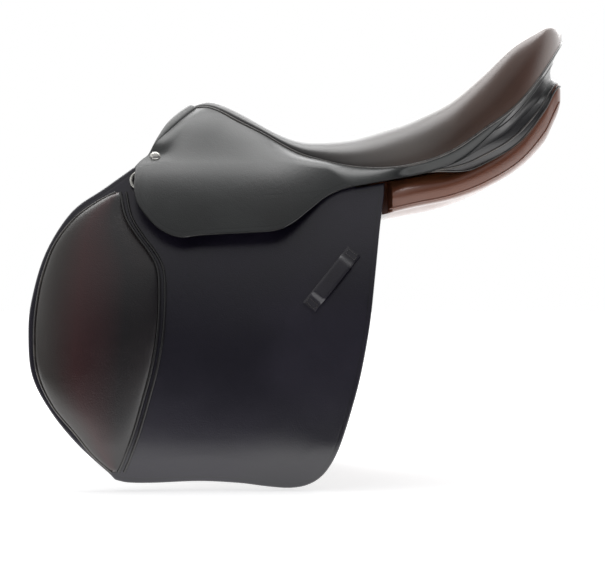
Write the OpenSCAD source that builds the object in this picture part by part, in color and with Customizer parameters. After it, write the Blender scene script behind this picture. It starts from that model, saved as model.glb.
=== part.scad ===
// Jumping saddle, taken apart as a saddler would: tree, seat, panels, sweat flaps,
// flaps, skirts, stirrup bars, girth straps and dees, each as its own solid.
// X runs from pommel (-) to cantle (+), Y from the near side (-) to the off side (+), Z up.
// The origin lies between the panels, at the height where they bear on a back or a rack.

/* [Seat] */
// Foremost point of the seat leather, at the pommel
seat_front = -130; // [-150:1:-115]
// Rearmost point of the cantle
cantle_x = 251; // [238:1:262]
// Top of the pommel
pommel_h = 121; // [112:1:130]
// Deepest point of the seat
dip_h = 79; // [75:1:84]
// Top of the cantle
cantle_h = 190; // [178:1:202]
// Width across the seat at its widest
seat_w = 270; // [255:1:285]
// Where the fall from the pommel ends
dip_front = -8; // [-15:1:5]
// Where the rise to the cantle begins
dip_rear = 35; // [28:1:45]
// Thickness of the seat leather
cover_t = 3; // [2:0.5:4]
// Thickness of the strained canvas under the foam
canvas_t = 2.4; // [2:0.1:3]

/* [Tree] */
// Thickness of the side rails
rail_t = 11; // [9:0.5:13]
// Thickness of the head arch
head_t = 11; // [9:0.5:12]
// Thickness of the steel gullet plate
plate_t = 2.5; // [2:0.1:3]

/* [Flaps] */
// Half the spread between the two flap hinge lines
hinge_half = 104; // [102:0.5:108]
// Height of the flap hinge lines
hinge_h = 48; // [46:0.5:50]
// Radius of the flaps' outward curve
bend_r = 720; // [680:5:800]
// Height at which the flaps' curve hangs plumb
plumb_h = -290; // [-310:1:-275]
// Foremost point of the flaps
flap_front = -283; // [-295:1:-275]
// Rearmost point of the flaps
flap_rear = 63; // [58:1:68]
// Lowest point of the flaps
flap_low = -267; // [-285:1:-255]
// Thickness of the flap leather
flap_t = 5; // [4:0.5:6]
// Crown of the padded knee insert
pad_h = 12; // [8:0.5:15]
// Width of the stirrup leather keeper
keeper_w = 15; // [12:0.5:18]
// Length of the stirrup leather keeper
keeper_len = 70; // [60:1:78]
// Slot under the keeper for the end of the stirrup leather
keeper_slot = 3.5; // [3:0.1:5]

/* [Skirts] */
// Thickness of the skirt leather
skirt_t = 4; // [3:0.5:5]
// Stand-off of the skirt from the flap at its upper edge
skirt_off_top = 4; // [3.5:0.1:5]
// Stand-off of the skirt from the flap at its lower edge
skirt_off_low = 13; // [11:0.5:16]
// Radius of the skirt's own outward curve
skirt_r = 180; // [160:5:240]
// Thickness of the fixed leather bands
band_t = 3.5; // [3:0.1:4]

/* [Girth] */
// Width of the girth straps
strap_w = 25; // [22:0.5:27]
// Thickness of the girth straps
strap_t = 4; // [3:0.5:4.5]
// Length of the girth straps below their pivots
strap_len = 195; // [170:1:205]
// Distance between girth straps
strap_pitch = 48; // [45:0.5:52]
// Height of the strap pivots
strap_h = -32; // [-36:1:-30]
// Thickness of the girth webbing
web_t = 2; // [1.5:0.1:2.5]
// Thickness of the buckle guard
guard_t = 2.2; // [1.8:0.1:2.6]
// Thickness of the sweat flaps
sweat_t = 4; // [3:0.5:5]
// Diameter of the buckle holes in the straps
hole_d = 4.5; // [4:0.1:5.5]

/* [Metalwork] */
// Height of the stirrup bars
bar_h = 8; // [6:0.5:10]
// Front end of the stirrup bars
bar_front = -120; // [-123:0.5:-117]
// Length of the stirrup bar finger
bar_len = 62; // [58:0.5:64]
// Thickness of the bar plate and of the finger
bar_t = 6.5; // [6:0.1:7]
// Slot between plate and finger for the stirrup leather
bar_slot = 9; // [8:0.1:10]
// Height of the bar finger
finger_h = 10; // [9:0.5:11]
// Length of the hinged catch
catch_len = 22; // [18:0.5:24]
// Diameter of the catch pin
pin_d = 3; // [2.5:0.1:3.5]
// Wire diameter of the dees
dee_wire = 3.2; // [2.8:0.1:3.6]
// Radius of the dees at the middle of the wire
dee_r = 9.5; // [9:0.1:10.5]
// Diameter of the saddle nail heads
nail_d = 11; // [9:0.5:12]

/* [Fits] */
// Gap between pieces that lie against each other
fit = 0.3; // [0.25:0.05:0.4]
// Radial clearance of a pin in its bore
run = 0.05; // [0.03:0.01:0.08]
// Play beside straps and guards
play = 0.9; // [0.8:0.1:1.2]

/* [Hidden] */
$fn = 48;

// Colours of the photographed finishes
black_leather = [0.09, 0.09, 0.1];
brown_leather = [0.42, 0.24, 0.16];
seat_leather = [0.3, 0.24, 0.2];
beech = [0.76, 0.6, 0.42];
steel = [0.72, 0.72, 0.72];
canvas = [0.82, 0.78, 0.68];
webbing = [0.88, 0.86, 0.8];
foam = [0.9, 0.86, 0.62];

// Curves

function lerp(a, b, t) = a + (b - a) * t;
function smooth(t) = let (c = min(1, max(0, t))) c * c * (3 - 2 * c);
function span(p, x, i = 0) = i >= len(p) - 2 || x < p[i + 1][0] ? i : span(p, x, i + 1);
function slope(p, i, k) = let (a = max(0, i - 1), b = min(len(p) - 1, i + 1))
  (p[b][k] - p[a][k]) / (p[b][0] - p[a][0]);
// Value k of a smooth curve through stations [place, value, value, ...]
function curve(p, x, k = 1) = let (i = span(p, x), h = p[i + 1][0] - p[i][0], t = (x - p[i][0]) / h)
  lerp(p[i][k], p[i + 1][k], smooth(t))
  + h * t * (1 - t) * ((1 - t) * slope(p, i, k) - t * slope(p, i + 1, k));
// Open smooth path through 2D points, with n steps between two of them
function path(p, n = 5) = [for (i = [0 : len(p) - 2]) for (j = [0 : i == len(p) - 2 ? n : n - 1])
  let (t = j / n, a = p[max(0, i - 1)], b = p[i], c = p[i + 1], d = p[min(len(p) - 1, i + 2)])
  0.5 * (2 * b + (c - a) * t + (2 * a - 5 * b + 4 * c - d) * t * t + (3 * b - a - 3 * c + d) * t * t * t)];

// Solids from rings and grids

function strip(m, n, base, flip) = [for (i = [0 : m - 2]) for (j = [0 : n - 2])
  let (a = base + i * n + j, b = a + 1, c = b + n, d = a + n)
  each flip ? [[a, c, b], [a, d, c]] : [[a, b, c], [a, c, d]]];
function rim(a, b, flip) = [for (j = [0 : len(a) - 2])
  each flip ? [[a[j], b[j + 1], a[j + 1]], [a[j], b[j], b[j + 1]]]
            : [[a[j], a[j + 1], b[j + 1]], [a[j], b[j + 1], b[j]]]];

// A solid between two grids of points of the same rows and columns; rows cross columns outwards
module sheet(outer, inner) {
  m = len(outer);
  n = len(outer[0]);
  k = m * n;
  row0 = [for (j = [0 : n - 1]) j];
  row1 = [for (j = [0 : n - 1]) (m - 1) * n + j];
  col0 = [for (i = [0 : m - 1]) i * n];
  col1 = [for (i = [0 : m - 1]) i * n + n - 1];
  under = function (list) [for (i = list) i + k];
  polyhedron(
    points = concat([for (r = outer) each r], [for (r = inner) each r]),
    faces = concat(strip(m, n, 0, false), strip(m, n, k, true),
      rim(row0, under(row0), true), rim(row1, under(row1), false),
      rim(col0, under(col0), false), rim(col1, under(col1), true)),
    convexity = 8);
}

// A closed skin over rings of points, with both ends filled from their first point
module loft(rings) {
  m = len(rings);
  n = len(rings[0]);
  index = function (i, j) i * n + j % n;
  polyhedron(
    points = [for (r = rings) each r],
    faces = concat(
      [for (i = [0 : m - 2]) for (j = [0 : n - 1])
        each [[index(i, j), index(i + 1, j + 1), index(i, j + 1)],
              [index(i, j), index(i + 1, j), index(i + 1, j + 1)]]],
      [for (j = [1 : n - 2]) [0, j, j + 1]],
      [for (j = [1 : n - 2]) [index(m - 1, 0), index(m - 1, j + 1), index(m - 1, j)]]),
    convexity = 8);
}

// Mirrors a piece made on the off side, where Y is positive, to the near side
module hand(side) {
  if (side == "left") mirror([0, 1, 0]) children();
  else children();
}

// The flaps' curved surface: every layer beside it is a shell about the same axis

bend_half = hinge_half - sqrt(bend_r * bend_r - (hinge_h - plumb_h) * (hinge_h - plumb_h));
function lean(z) = asin((z - plumb_h) / bend_r);
function half_at(z, n = 0) = bend_half + sqrt((bend_r + n) * (bend_r + n) - (z - plumb_h) * (z - plumb_h));
// Half width and height of a point n outside the surface and s up along it from height z
function beside(z, n, s = 0) = [half_at(z) + n * cos(lean(z)) - s * sin(lean(z)),
                                z + n * sin(lean(z)) + s * cos(lean(z))];
// Places children at the flap surface: their X is X, their Y points outwards and their Z runs up the flap
module at_flap(x, z, n = 0) {
  p = beside(z, n);
  translate([x, p[0], p[1]]) rotate([lean(z), 0, 0]) children();
}
// A place on the flap from shares of its width and height
function on_flap(p) = [lerp(flap_front, flap_rear, p[0]), lerp(flap_low, hinge_h, p[1])];

// How far the cutting bodies run: past the flap's front edge, its lower edge and its widest point
reach = max(-flap_front, -flap_low, bend_half + bend_r) + 47;
module shell(n_in, n_out) {
  translate([0, bend_half, plumb_h]) rotate([0, 90, 0]) difference() {
    cylinder(r = bend_r + n_out, h = 2 * reach, center = true, $fn = 360);
    cylinder(r = bend_r + n_in, h = 3 * reach, center = true, $fn = 360);
  }
}
// A leather piece cut to a side-view outline and laid in the layer from n_in to n_out
module layer(outline, n_in, n_out) {
  intersection() {
    shell(n_in, n_out);
    translate([0, reach, 0]) rotate([90, 0, 0]) linear_extrude(reach - 20) polygon(outline);
  }
}

// Layers inwards from the flap, counted from the middle of its thickness
flap_out = flap_t / 2;
guard_out = -flap_out - play;
guard_in = guard_out - guard_t;
strap_out = guard_in - play;
strap_in = strap_out - strap_t;
web_out = strap_in - fit;
web_in = web_out - web_t;
strap2_out = web_in - fit;
strap2_in = strap2_out - strap_t;
sweat_out = strap2_in - 1.5 * play;
sweat_in = sweat_out - sweat_t;
panel_limit = sweat_in - 2 * fit;
bar_seat = web_in - 2 * fit;
finger_in = bar_seat + bar_t + bar_slot;
finger_mid = finger_in + bar_t / 2;

// Seat

// Share of length, share of half width, edge below crown, rim above crown, shoulder as a share of half width
seat_edge = [[0, 0.15, 5, 0, 0.1], [0.06, 0.29, 10, 0, 0.1], [0.12, 0.39, 14, 0, 0.1],
  [0.2, 0.47, 14, 0, 0.12], [0.3, 0.55, 20, 0, 0.2], [0.4, 0.65, 30, 0, 0.35], [0.5, 0.79, 35, 6, 0.5],
  [0.6, 0.94, 37, 11, 0.62], [0.68, 1, 36, 15, 0.68], [0.76, 1, 30.5, 24.5, 0.7], [0.84, 1, 28.5, 32.5, 0.72],
  [0.91, 1, 21.5, 27.5, 0.74], [0.96, 1, 13.5, 18.5, 0.74], [1, 1, 8, 0, 0.6]];
// Where the seat is widest, and the share of its width that is left at the middle of the cantle
widest = 0.68;
cantle_tip = 0.07;
function cantle_round(t) = sqrt(max(0, 1 - pow(max(0, t - widest) / (1 - widest), 2)));
pommel_x = seat_front + 8;
cantle_rise = 2.2;
function seat_x(t) = lerp(seat_front, cantle_x, t);
function seat_t(x) = (x - seat_front) / (cantle_x - seat_front);
function crown(x) = x < dip_rear
  ? lerp(pommel_h, dip_h, smooth((x - pommel_x) / (dip_front - pommel_x)))
  : dip_h + (cantle_h - dip_h) * pow((x - dip_rear) / (cantle_x - dip_rear), cantle_rise);
function seat_half(t) = seat_w / 2 * curve(seat_edge, t, 1) * max(cantle_tip, cantle_round(t));
function edge_z(t) = crown(seat_x(t)) - curve(seat_edge, t, 2);

flat_steps = 3;
roll_steps = 6;
// Section of the seat at t, drawn in by inset, with as many steps left off its rolled sides as skip says
function seat_section(t, inset, skip) = let (last = flat_steps + roll_steps - skip)
  [for (j = [-last : last])
  let (a = abs(j), side = sign(j), w = seat_half(t), z0 = crown(seat_x(t)), drop = curve(seat_edge, t, 2),
       dish = curve(seat_edge, t, 3), s0 = curve(seat_edge, t, 4), turn = 90 * (a - flat_steps) / roll_steps)
  a <= flat_steps
    ? [seat_x(t), side * w * s0 * a / flat_steps, z0 + dish * smooth(a / flat_steps) - inset]
    : [seat_x(t), side * (w * (s0 + (1 - s0) * sin(turn)) - inset * sin(turn)),
       z0 - drop + (dish + drop) * cos(turn) - inset * cos(turn)]];

function rows(first, last, n) = [for (i = [0 : n]) lerp(first, last, i / n)];
// Shared stations along the seat, crowded towards the cantle where it turns upwards
seat_rows = 30;
stations = [for (u = rows(0, 1, seat_rows)) u * (1.2 + 0.52 * u - 0.72 * u * u)];
function between(first, last) = [for (t = stations) if (t >= first && t <= last) t];
// How far half a width must shrink for the outline, seen from above, to draw in by d
function plan_run(t) = let (a = max(0, t - 0.01), b = min(1, t + 0.01))
  [seat_x(b) - seat_x(a), seat_half(b) - seat_half(a)];
function drawn_in(t, d) = let (r = plan_run(t)) d * norm(r) / r[0];

module seat_cover() color(seat_leather)
  sheet([for (t = stations) seat_section(t, 0, 0)], [for (t = stations) seat_section(t, cover_t, 0)]);

foam_base = canvas_t + 2 * fit;
module seat_foam() color(foam) {
  places = between(0.15, 0.95);
  top = [for (t = places) seat_section(t, cover_t + fit, 2)];
  sheet(top, [for (i = [0 : len(places) - 1])
    [for (p = top[i]) [p[0], p[1], edge_z(places[i]) + foam_base]]]);
}

// Tree

rail_inner = [[0, 0.5], [0.3, 0.6], [0.6, 0.5], [0.76, 0.42], [0.86, 0.3], [0.93, 0.003], [1, 0.003]];
rail_edge = 9.5;
facing_lean = 9;
// How much of the lean the cantle facing has taken at t
function leaning(t) = smooth((t - 0.74) / 0.16);
rail_first = 0.045;
rail_last = 0.95;
bar_seat_half = 15;
flare_end = 15;
flare_run = 45;
function flare(x) = 1 - smooth((x - flare_end + flare_run) / flare_run);
function rail_top(t) = edge_z(t);
// Five corners of a rail: inner bottom, the flank that carries the stirrup bar, outer top, inner top
function rail_section(t) = let (z = rail_top(t),
    w = seat_half(t) - drawn_in(t, rail_edge + facing_lean * leaning(t)),
    top = beside(bar_h, bar_seat, bar_seat_half), low = beside(bar_h, bar_seat, -bar_seat_half),
    f = flare(seat_x(t)), inner = max(fit, seat_half(t) * curve(rail_inner, t)))
  [[inner, z - rail_t], lerp([w, z - rail_t], low, f), lerp([w, z - 2], top, f), [w, z], [inner, z]];

module tree_rail() color(beech)
  loft([for (t = concat([rail_first], between(rail_first + 0.01, rail_last)))
    [for (p = rail_section(t)) [seat_x(t), p[0], p[1]]]]);

// Head arch stations: share of the arch, half spread, depth below the pommel, half depth
head_arch = [[0, 0, 22, 7], [0.3, 28, 27, 8], [0.55, 56, 50, 9], [0.8, 82, 83, 10], [1, 100, 107, 10]];
function head_at(a) = let (s = abs(a)) [seat_x(rail_first) - fit - curve(head_arch, s, 3),
  sign(a) * curve(head_arch, s, 1), pommel_h - curve(head_arch, s, 2)];
// Ring of the arch at a, between two depths below its middle line
function head_ring(a, over, under) = let (p = head_at(a), q = head_at(a + 0.02) - head_at(a - 0.02),
    n = [-q[2], q[1]] / norm([q[1], q[2]]), d = curve(head_arch, abs(a), 3))
  [for (c = [[-d, over], [d, over], [d, -under], [-d, -under]])
    [p[0] + c[0], p[1] + n[0] * c[1], p[2] + n[1] * c[1]]];
module head_arch_band(over, under) loft([for (a = rows(-0.98, 0.98, 20)) head_ring(a, over, under)]);
// Leather over the front of the arch
arch_leather = 3;
module pommel_facing() color(black_leather)
  loft([for (a = rows(-0.98, 0.98, 20)) let (d = curve(head_arch, abs(a), 3) + 2 * fit,
      p = head_at(a)[0] - d, r = head_ring(a, head_t / 2 + 1, head_t / 2 + 2 * fit + plate_t))
    [for (i = [0 : 3]) [i == 0 || i == 3 ? p - arch_leather : p, r[i][1], r[i][2]]]]);
module tree_head() color(beech) head_arch_band(head_t / 2, head_t / 2);
module gullet_plate() color(steel) head_arch_band(-head_t / 2 - fit, head_t / 2 + fit + plate_t);

// Sheets that lie across the tree: canvas over the rails, lining under them
function across(t, half, z) = [for (s = [-1, -0.5, 0, 0.5, 1]) [seat_x(t), s * half, z]];
canvas_lap = 10;
function canvas_half(t) = seat_half(t) * curve(rail_inner, t) + canvas_lap;
module seat_canvas() color(canvas) {
  places = between(0.15, 0.9);
  sheet([for (t = places) across(t, canvas_half(t), rail_top(t) + fit + canvas_t)],
        [for (t = places) across(t, canvas_half(t), rail_top(t) + fit)]);
}
lining_t = 2;
lining_lap = 6;
lining_rear = 40;
module gullet_lining() color(brown_leather) {
  places = between(0.385, 0.945);
  half = function (t) max(seat_half(t) * curve(rail_inner, t) + lining_lap, lining_rear * leaning(t));
  sheet([for (t = places) across(t, half(t), rail_top(t) - rail_t - fit)],
        [for (t = places) across(t, half(t), rail_top(t) - rail_t - fit - lining_t)]);
}

// Panels

// Front and rear ends of the panels
panel_front = seat_front - 49;
panel_rear = cantle_x - 9;
// X, half width and height of the middle, half length, half thickness, tilt
panel_form = [[panel_front, 72, -7, 42, 5, 57], [panel_front + 7, 72, -6, 56, 13, 57],
  [panel_front + 29, 73, 0, 59, 17, 54], [-120, 73, 4, 60, 18, 51], [-60, 73, 7, 58, 18.5, 48],
  [-10, 71, 10, 48, 18, 36], [30, 70, 16, 43, 16, 23], [60, 74, 20, 45, 15, 17], [90, 78, 25, 50, 15, 13],
  [130, 80, 33, 51, 15, 12], [panel_rear - 77, 77, cantle_h - 145, 47, 16, 10],
  [panel_rear - 42, 65, cantle_h - 124, 37, 17, 10], [panel_rear - 16, 54, cantle_h - 97, 25, 19, 7],
  [panel_rear - 5, 48, cantle_h - 79, 16, 18, 4], [panel_rear, 46, cantle_h - 68, 7, 8, 0]];
panel_power = 0.75;
panel_sides = 20;
function swell(v) = sign(v) * pow(abs(v), panel_power);
function panel_ring(x) = let (a = curve(panel_form, x, 3), b = curve(panel_form, x, 4),
    tilt = curve(panel_form, x, 5), rail = rail_section(max(rail_first, min(rail_last, seat_t(x)))),
    in_low = rail[0], out_low = rail[1], room = lining_t + 4 * fit)
  [for (i = [0 : panel_sides - 1]) let (turn = 360 * i / panel_sides,
      u = a * swell(cos(turn)), v = b * swell(sin(turn)),
      h = curve(panel_form, x, 1) + u * cos(tilt) + v * sin(tilt),
      z = curve(panel_form, x, 2) - u * sin(tilt) + v * cos(tilt),
      roof = lerp(in_low[1], out_low[1], max(0, (h - in_low[0]) / (out_low[0] - in_low[0]))) - room,
      z2 = min(z, roof),
      wall = x < flap_rear + 4 ? half_at(z2, panel_limit) : reach)
    [x, min(h, wall), z2]];
module panel() color(brown_leather)
  loft([for (x = concat([for (d = [0, 3, 7, 14, 24, 36]) panel_front + d],
      [for (t = between(0, seat_t(panel_rear - 9))) seat_x(t)], [for (d = [7, 3, 1, 0]) panel_rear - d]))
    panel_ring(x)]);

// Fixed leather round the seat

seam_gap = 3 * fit;
facing_first = 0.62;
facing_drop = [[0.6, 14], [0.68, 19], [0.76, 24], [0.84, 32], [0.91, 38], [0.96, 40], [1, 42]];
facing_tuck = 1.5;
// Share of the facing's height, and share of its lean there
facing_form = [[0, 0], [0.4, 0.65], [0.7, 1], [1, 0.7]];
// Section of the cantle facing: side is -1 or 1, depth is 0 outside and band_t inside
function facing_section(t, side, depth) = let (r = plan_run(t) / norm(plan_run(t)), w = seat_half(t),
    h = curve(facing_drop, t), top = edge_z(seat_t(seat_x(t) + r[1] * (depth + facing_tuck))) - seam_gap)
  [for (f = facing_form) let (d = depth + facing_tuck * (1 + f[0]) + f[1] * facing_lean * leaning(t))
    [seat_x(t) + r[1] * d, side * (w - r[0] * d), top - f[0] * h]];
module cantle_facing() color(black_leather) {
  places = concat([facing_first + 0.002], between(facing_first + 0.01, 1));
  loop = function (depth) concat([for (t = places) facing_section(t, 1, depth)],
    [for (i = [len(places) - 1 : -1 : 0]) facing_section(places[i], -1, depth)]);
  sheet(loop(0), loop(band_t));
}

roll_r = flap_t / 2 + 0.5;
band_lean = 56;
tail_front = 20;
tail_run = 14;
tail_low = 21;
tail_rise = 0.12;
band_bulge = 5;
// Upper edge of the skirt band along the seat's seam, and lower edge along the hinge and then the tail
function band_upper(t) = [seat_x(t), seat_half(t), edge_z(t) - seam_gap];
function band_lower(t) = let (x = seat_x(t) - band_lean * (1 - smooth(t / 0.3)), far = x - tail_front,
    drop = min(1, max(0, far / tail_run)), z = hinge_h - tail_low + tail_rise * max(0, far))
  [x, lerp(hinge_half - roll_r - 1.5 * fit, max(half_at(z) - 1, seat_half(seat_t(max(x, tail_front))) - 3),
           drop),
   lerp(hinge_h + 0.8, z, drop)];
function band_normal(t) = let (d = band_lower(t) - band_upper(t)) [0, -d[2], d[1]] / norm([d[1], d[2]]);
function band_point(t, v, depth) = let (u = band_upper(t), d = band_lower(t) - u)
  u + v * d + band_normal(t) * (band_bulge * 4 * v * (1 - v) * min(1, norm(d) / 60) - depth);
function band_section(t, depth) = [for (v = rows(0, 1, 5)) band_point(t, v, depth)];
module skirt_band() color(black_leather) {
  tail = [seat_t(tail_front), seat_t(tail_front + tail_run)];
  places = concat(between(0, tail[0] - 0.01), tail, between(tail[1] + 0.01, facing_first - 0.01),
    [facing_first]);
  sheet([for (t = places) band_section(t, 0)], [for (t = places) band_section(t, band_t)]);
}

nail_place = [0.034, 0.9];
module saddle_nail() color(steel) {
  n = band_normal(nail_place[0]);
  translate(band_point(nail_place[0], nail_place[1], 0)) rotate([-atan2(n[1], n[2]), 0, 0]) {
    translate([0, 0, fit]) intersection() {
      translate([0, 0, nail_d * 0.3 - nail_d * 0.625]) sphere(d = nail_d * 1.25);
      cylinder(d = nail_d, h = nail_d);
    }
    translate([0, 0, -6]) cylinder(d = 2.4, h = 6 + 2 * fit);
  }
}

// Flaps and what is sewn to them

flap_edge = concat(
  path([[0.29, 1], [0.2, 0.925], [0.11, 0.85], [0.04, 0.72], [0.005, 0.57], [0, 0.46], [0.014, 0.34],
    [0.066, 0.235], [0.14, 0.137], [0.23, 0.045]], 4),
  path([[0.245, 0.026], [0.28, 0.017], [0.35, 0.016], [0.48, 0.022], [0.59, 0.016], [0.66, 0.006],
    [0.725, 0], [0.775, 0.008], [0.815, 0.033], [0.845, 0.075], [0.873, 0.14], [0.907, 0.257],
    [0.93, 0.356], [0.954, 0.5], [0.97, 0.65], [0.985, 0.8], [0.998, 0.9]], 4));
tail_gap = 3;
flap_step = [tail_front + tail_run, hinge_h - tail_low - tail_gap];
notch_gap = 8;
roll_seat = 0.7;
notch_low = bar_h - 17;
module flap() color(black_leather) {
  outline = concat([for (p = flap_edge) on_flap(p) - [0, p[1] == 1 ? roll_seat : 0]],
    [[flap_rear, flap_step[1]], flap_step, [tail_front - 2, hinge_h - roll_seat]]);
  notch_front = bar_front - notch_gap;
  notch_rear = bar_front + bar_len + catch_len + notch_gap;
  front_roll = on_flap(flap_edge[0])[0];
  difference() {
    union() {
      layer(outline, -flap_out, flap_out);
      translate([front_roll + roll_seat, hinge_half, hinge_h]) rotate([0, 90, 0])
        cylinder(r = roll_r, h = tail_front - 2 - front_roll - 2 * roll_seat);
    }
    translate([notch_front, 0, notch_low]) cube([notch_rear - notch_front, reach, reach]);
  }
}

// Front and rear edges of the padded insert: share of height, share of width
pad_front = [[0.05, 0.238], [0.1, 0.188], [0.17, 0.136], [0.25, 0.074], [0.35, 0.03], [0.47, 0.018],
  [0.58, 0.024], [0.66, 0.038], [0.75, 0.068], [0.83, 0.122], [0.88, 0.182], [0.91, 0.232]];
pad_rear = [[0.05, 0.256], [0.09, 0.272], [0.17, 0.298], [0.27, 0.324], [0.37, 0.347], [0.47, 0.361],
  [0.59, 0.365], [0.67, 0.358], [0.72, 0.335], [0.77, 0.3], [0.83, 0.265], [0.91, 0.246]];
pad_rows = 22;
pad_cols = 10;
// A point of the insert: s across, v down its height, crowned or flat
function pad_point(s, v, crowned) = let (share = lerp(0.91, 0.05, v),
    p = on_flap([lerp(curve(pad_front, share), curve(pad_rear, share), s), share]),
    n = flap_out + fit + (crowned ? 1 + pad_h * pow(4 * s * (1 - s), 0.55) * pow(4 * v * (1 - v), 0.5) : 0),
    q = beside(p[1], n)) [p[0], q[0], q[1]];
module knee_pad() color(brown_leather)
  sheet([for (v = rows(0, 1, pad_rows)) [for (s = rows(1, 0, pad_cols)) pad_point(s, v, true)]],
        [for (v = rows(0, 1, pad_rows)) [for (s = rows(1, 0, pad_cols)) pad_point(s, v, false)]]);

keeper_mid = [0.847, 0.638];
keeper_turn = -39;
keeper_t = 2.5;
keeper_foot = 9;
module keeper_outline(from, to) {
  p = on_flap(keeper_mid);
  translate([0, reach, 0]) rotate([90, 0, 0]) linear_extrude(reach - 20)
    translate(p) rotate(keeper_turn) translate([-keeper_w / 2, from]) square([keeper_w, to - from]);
}
module leather_keeper() color(black_leather) {
  base = flap_out + fit;
  top = base + keeper_slot + keeper_t;
  difference() {
    intersection() {
      shell(base, top);
      keeper_outline(-keeper_len / 2, keeper_len / 2);
    }
    intersection() {
      shell(base - 1, base + keeper_slot);
      keeper_outline(keeper_foot - keeper_len / 2, keeper_len / 2 - keeper_foot);
    }
  }
}

// Skirts

skirt_top = [0.367, 1.003];
skirt_edge = path([[0.31, 0.965], [0.291, 0.93], [0.308, 0.862], [0.36, 0.795], [0.42, 0.767],
  [0.48, 0.773], [0.61, 0.781], [0.72, 0.791], [0.786, 0.833], [0.83, 0.868], [0.868, 0.893]], 4);
function skirt_anchor(z, off) = beside(z, flap_out + off);
// The welt under the skirt's upper edge, bent round the roll on which the skirt lifts
module skirt_welt(length) {
  far = 4 * roll_r;
  intersection() {
    rotate([0, 90, 0]) difference() {
      cylinder(r = roll_r + fit + skirt_off_top + skirt_t * 0.6, h = length);
      translate([0, 0, -1]) cylinder(r = roll_r + fit, h = length + 2);
    }
    rotate([90, 0, 90]) linear_extrude(length)
      polygon([[0, 0], far * [cos(-5), sin(-5)], far * [cos(18), sin(18)]]);
  }
}
module skirt() color(black_leather) {
  outline = concat([for (p = skirt_edge) on_flap(p)],
    [[tail_front - 2, on_flap(skirt_top)[1]], on_flap(skirt_top)]);
  a = skirt_anchor(on_flap(skirt_top)[1], skirt_off_top);
  b = skirt_anchor(on_flap([0, 0.767])[1], skirt_off_low);
  chord = b - a;
  mid = (a + b) / 2;
  inward = [chord[1], -chord[0]] / norm(chord);
  centre = mid + inward * sqrt(skirt_r * skirt_r - chord * chord / 4);
  front = on_flap(skirt_top)[0];
  union() {
    intersection() {
      translate([0, centre[0], centre[1]]) rotate([0, 90, 0]) difference() {
        cylinder(r = skirt_r + skirt_t, h = 2 * reach, center = true, $fn = 180);
        cylinder(r = skirt_r, h = 3 * reach, center = true, $fn = 180);
      }
      translate([0, reach, 0]) rotate([90, 0, 0]) linear_extrude(reach - 60) polygon(outline);
    }
    translate([front, hinge_half, hinge_h]) skirt_welt(tail_front - 2 - front);
  }
}

// Sweat flaps, knee rolls, girth straps and their webbing

sweat_edge = concat(
  path([[0.27, 0.78], [0.16, 0.775], [0.1, 0.71], [0.065, 0.58], [0.06, 0.46], [0.075, 0.34],
    [0.12, 0.24], [0.2, 0.14], [0.28, 0.09], [0.4, 0.075], [0.55, 0.07], [0.68, 0.06], [0.75, 0.075],
    [0.79, 0.12], [0.83, 0.22], [0.87, 0.36], [0.9, 0.5], [0.92, 0.64], [0.93, 0.78]], 4));
module sweat_flap() color(black_leather) layer([for (p = sweat_edge) on_flap(p)], sweat_in, sweat_out);

roll_edge = concat(
  path([[0.16, 0.745], [0.115, 0.69], [0.082, 0.58], [0.077, 0.46], [0.092, 0.35], [0.13, 0.26]], 4),
  path([[0.16, 0.275], [0.15, 0.36], [0.145, 0.46], [0.15, 0.58], [0.18, 0.68], [0.2, 0.735]], 4));
module knee_roll() color(brown_leather)
  layer([for (p = roll_edge) on_flap(p)], sweat_out + fit, -flap_out - play);

strap_x = [for (i = [-1 : 1]) bar_front + 70 + i * strap_pitch];
module girth_web() color(webbing) {
  web_over = 10;
  front = strap_x[0] - strap_w / 2 - 2;
  rear = strap_x[2] + strap_w / 2 + 2;
  top = beside(bar_h, web_out, plate_low - 1.6)[1];
  nailed = -30;
  low = strap_h - web_over;
  layer([[front, low], [rear, low], [rear, top - 6], [nailed, top], [front, top]], web_in, web_out);
}

strap_tip = 16;
hole_pitch = 22;
hole_count = 6;
module girth_strap(index) color(black_leather) {
  x = strap_x[index];
  inner = index == 1;
  n_in = inner ? strap2_in : strap_in;
  n_out = inner ? strap2_out : strap_out;
  low = strap_h - strap_len;
  w = strap_w / 2;
  difference() {
    intersection() {
      shell(n_in, n_out);
      union() {
        translate([0, reach, 0]) rotate([90, 0, 0]) linear_extrude(reach - 20)
          polygon([[x - w, strap_h], [x - w, low + strap_tip], [x - w / 3, low], [x + w / 3, low],
                   [x + w, low + strap_tip], [x + w, strap_h]]);
        at_flap(x, strap_h) rotate([90, 0, 0]) cylinder(d = strap_w, h = 120, center = true);
      }
    }
    for (i = [0 : hole_count - 1]) at_flap(x, low + strap_tip + 12 + i * hole_pitch)
      rotate([90, 0, 0]) cylinder(d = hole_d, h = 120, center = true);
  }
}

guard_low = -130;
module buckle_guard() color(black_leather) {
  front = strap_x[0] - strap_w / 2 - 6;
  rear = strap_x[2] + strap_w / 2 + 6;
  top = strap_h + strap_w / 2 - 6;
  tab = strap_w / 2;
  union() {
    layer([[front, guard_low + 12], [front + 12, guard_low], [rear - 12, guard_low], [rear, guard_low + 12],
           [rear, top], [front, top]], guard_in, guard_out);
    layer([[strap_x[1] - tab, top - 14], [strap_x[1] + tab, top - 14],
           [strap_x[1] + tab, top], [strap_x[1] - tab, top]], web_out + fit, guard_in + 0.1);
  }
}

// Stirrup bars with their hinged catches

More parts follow.
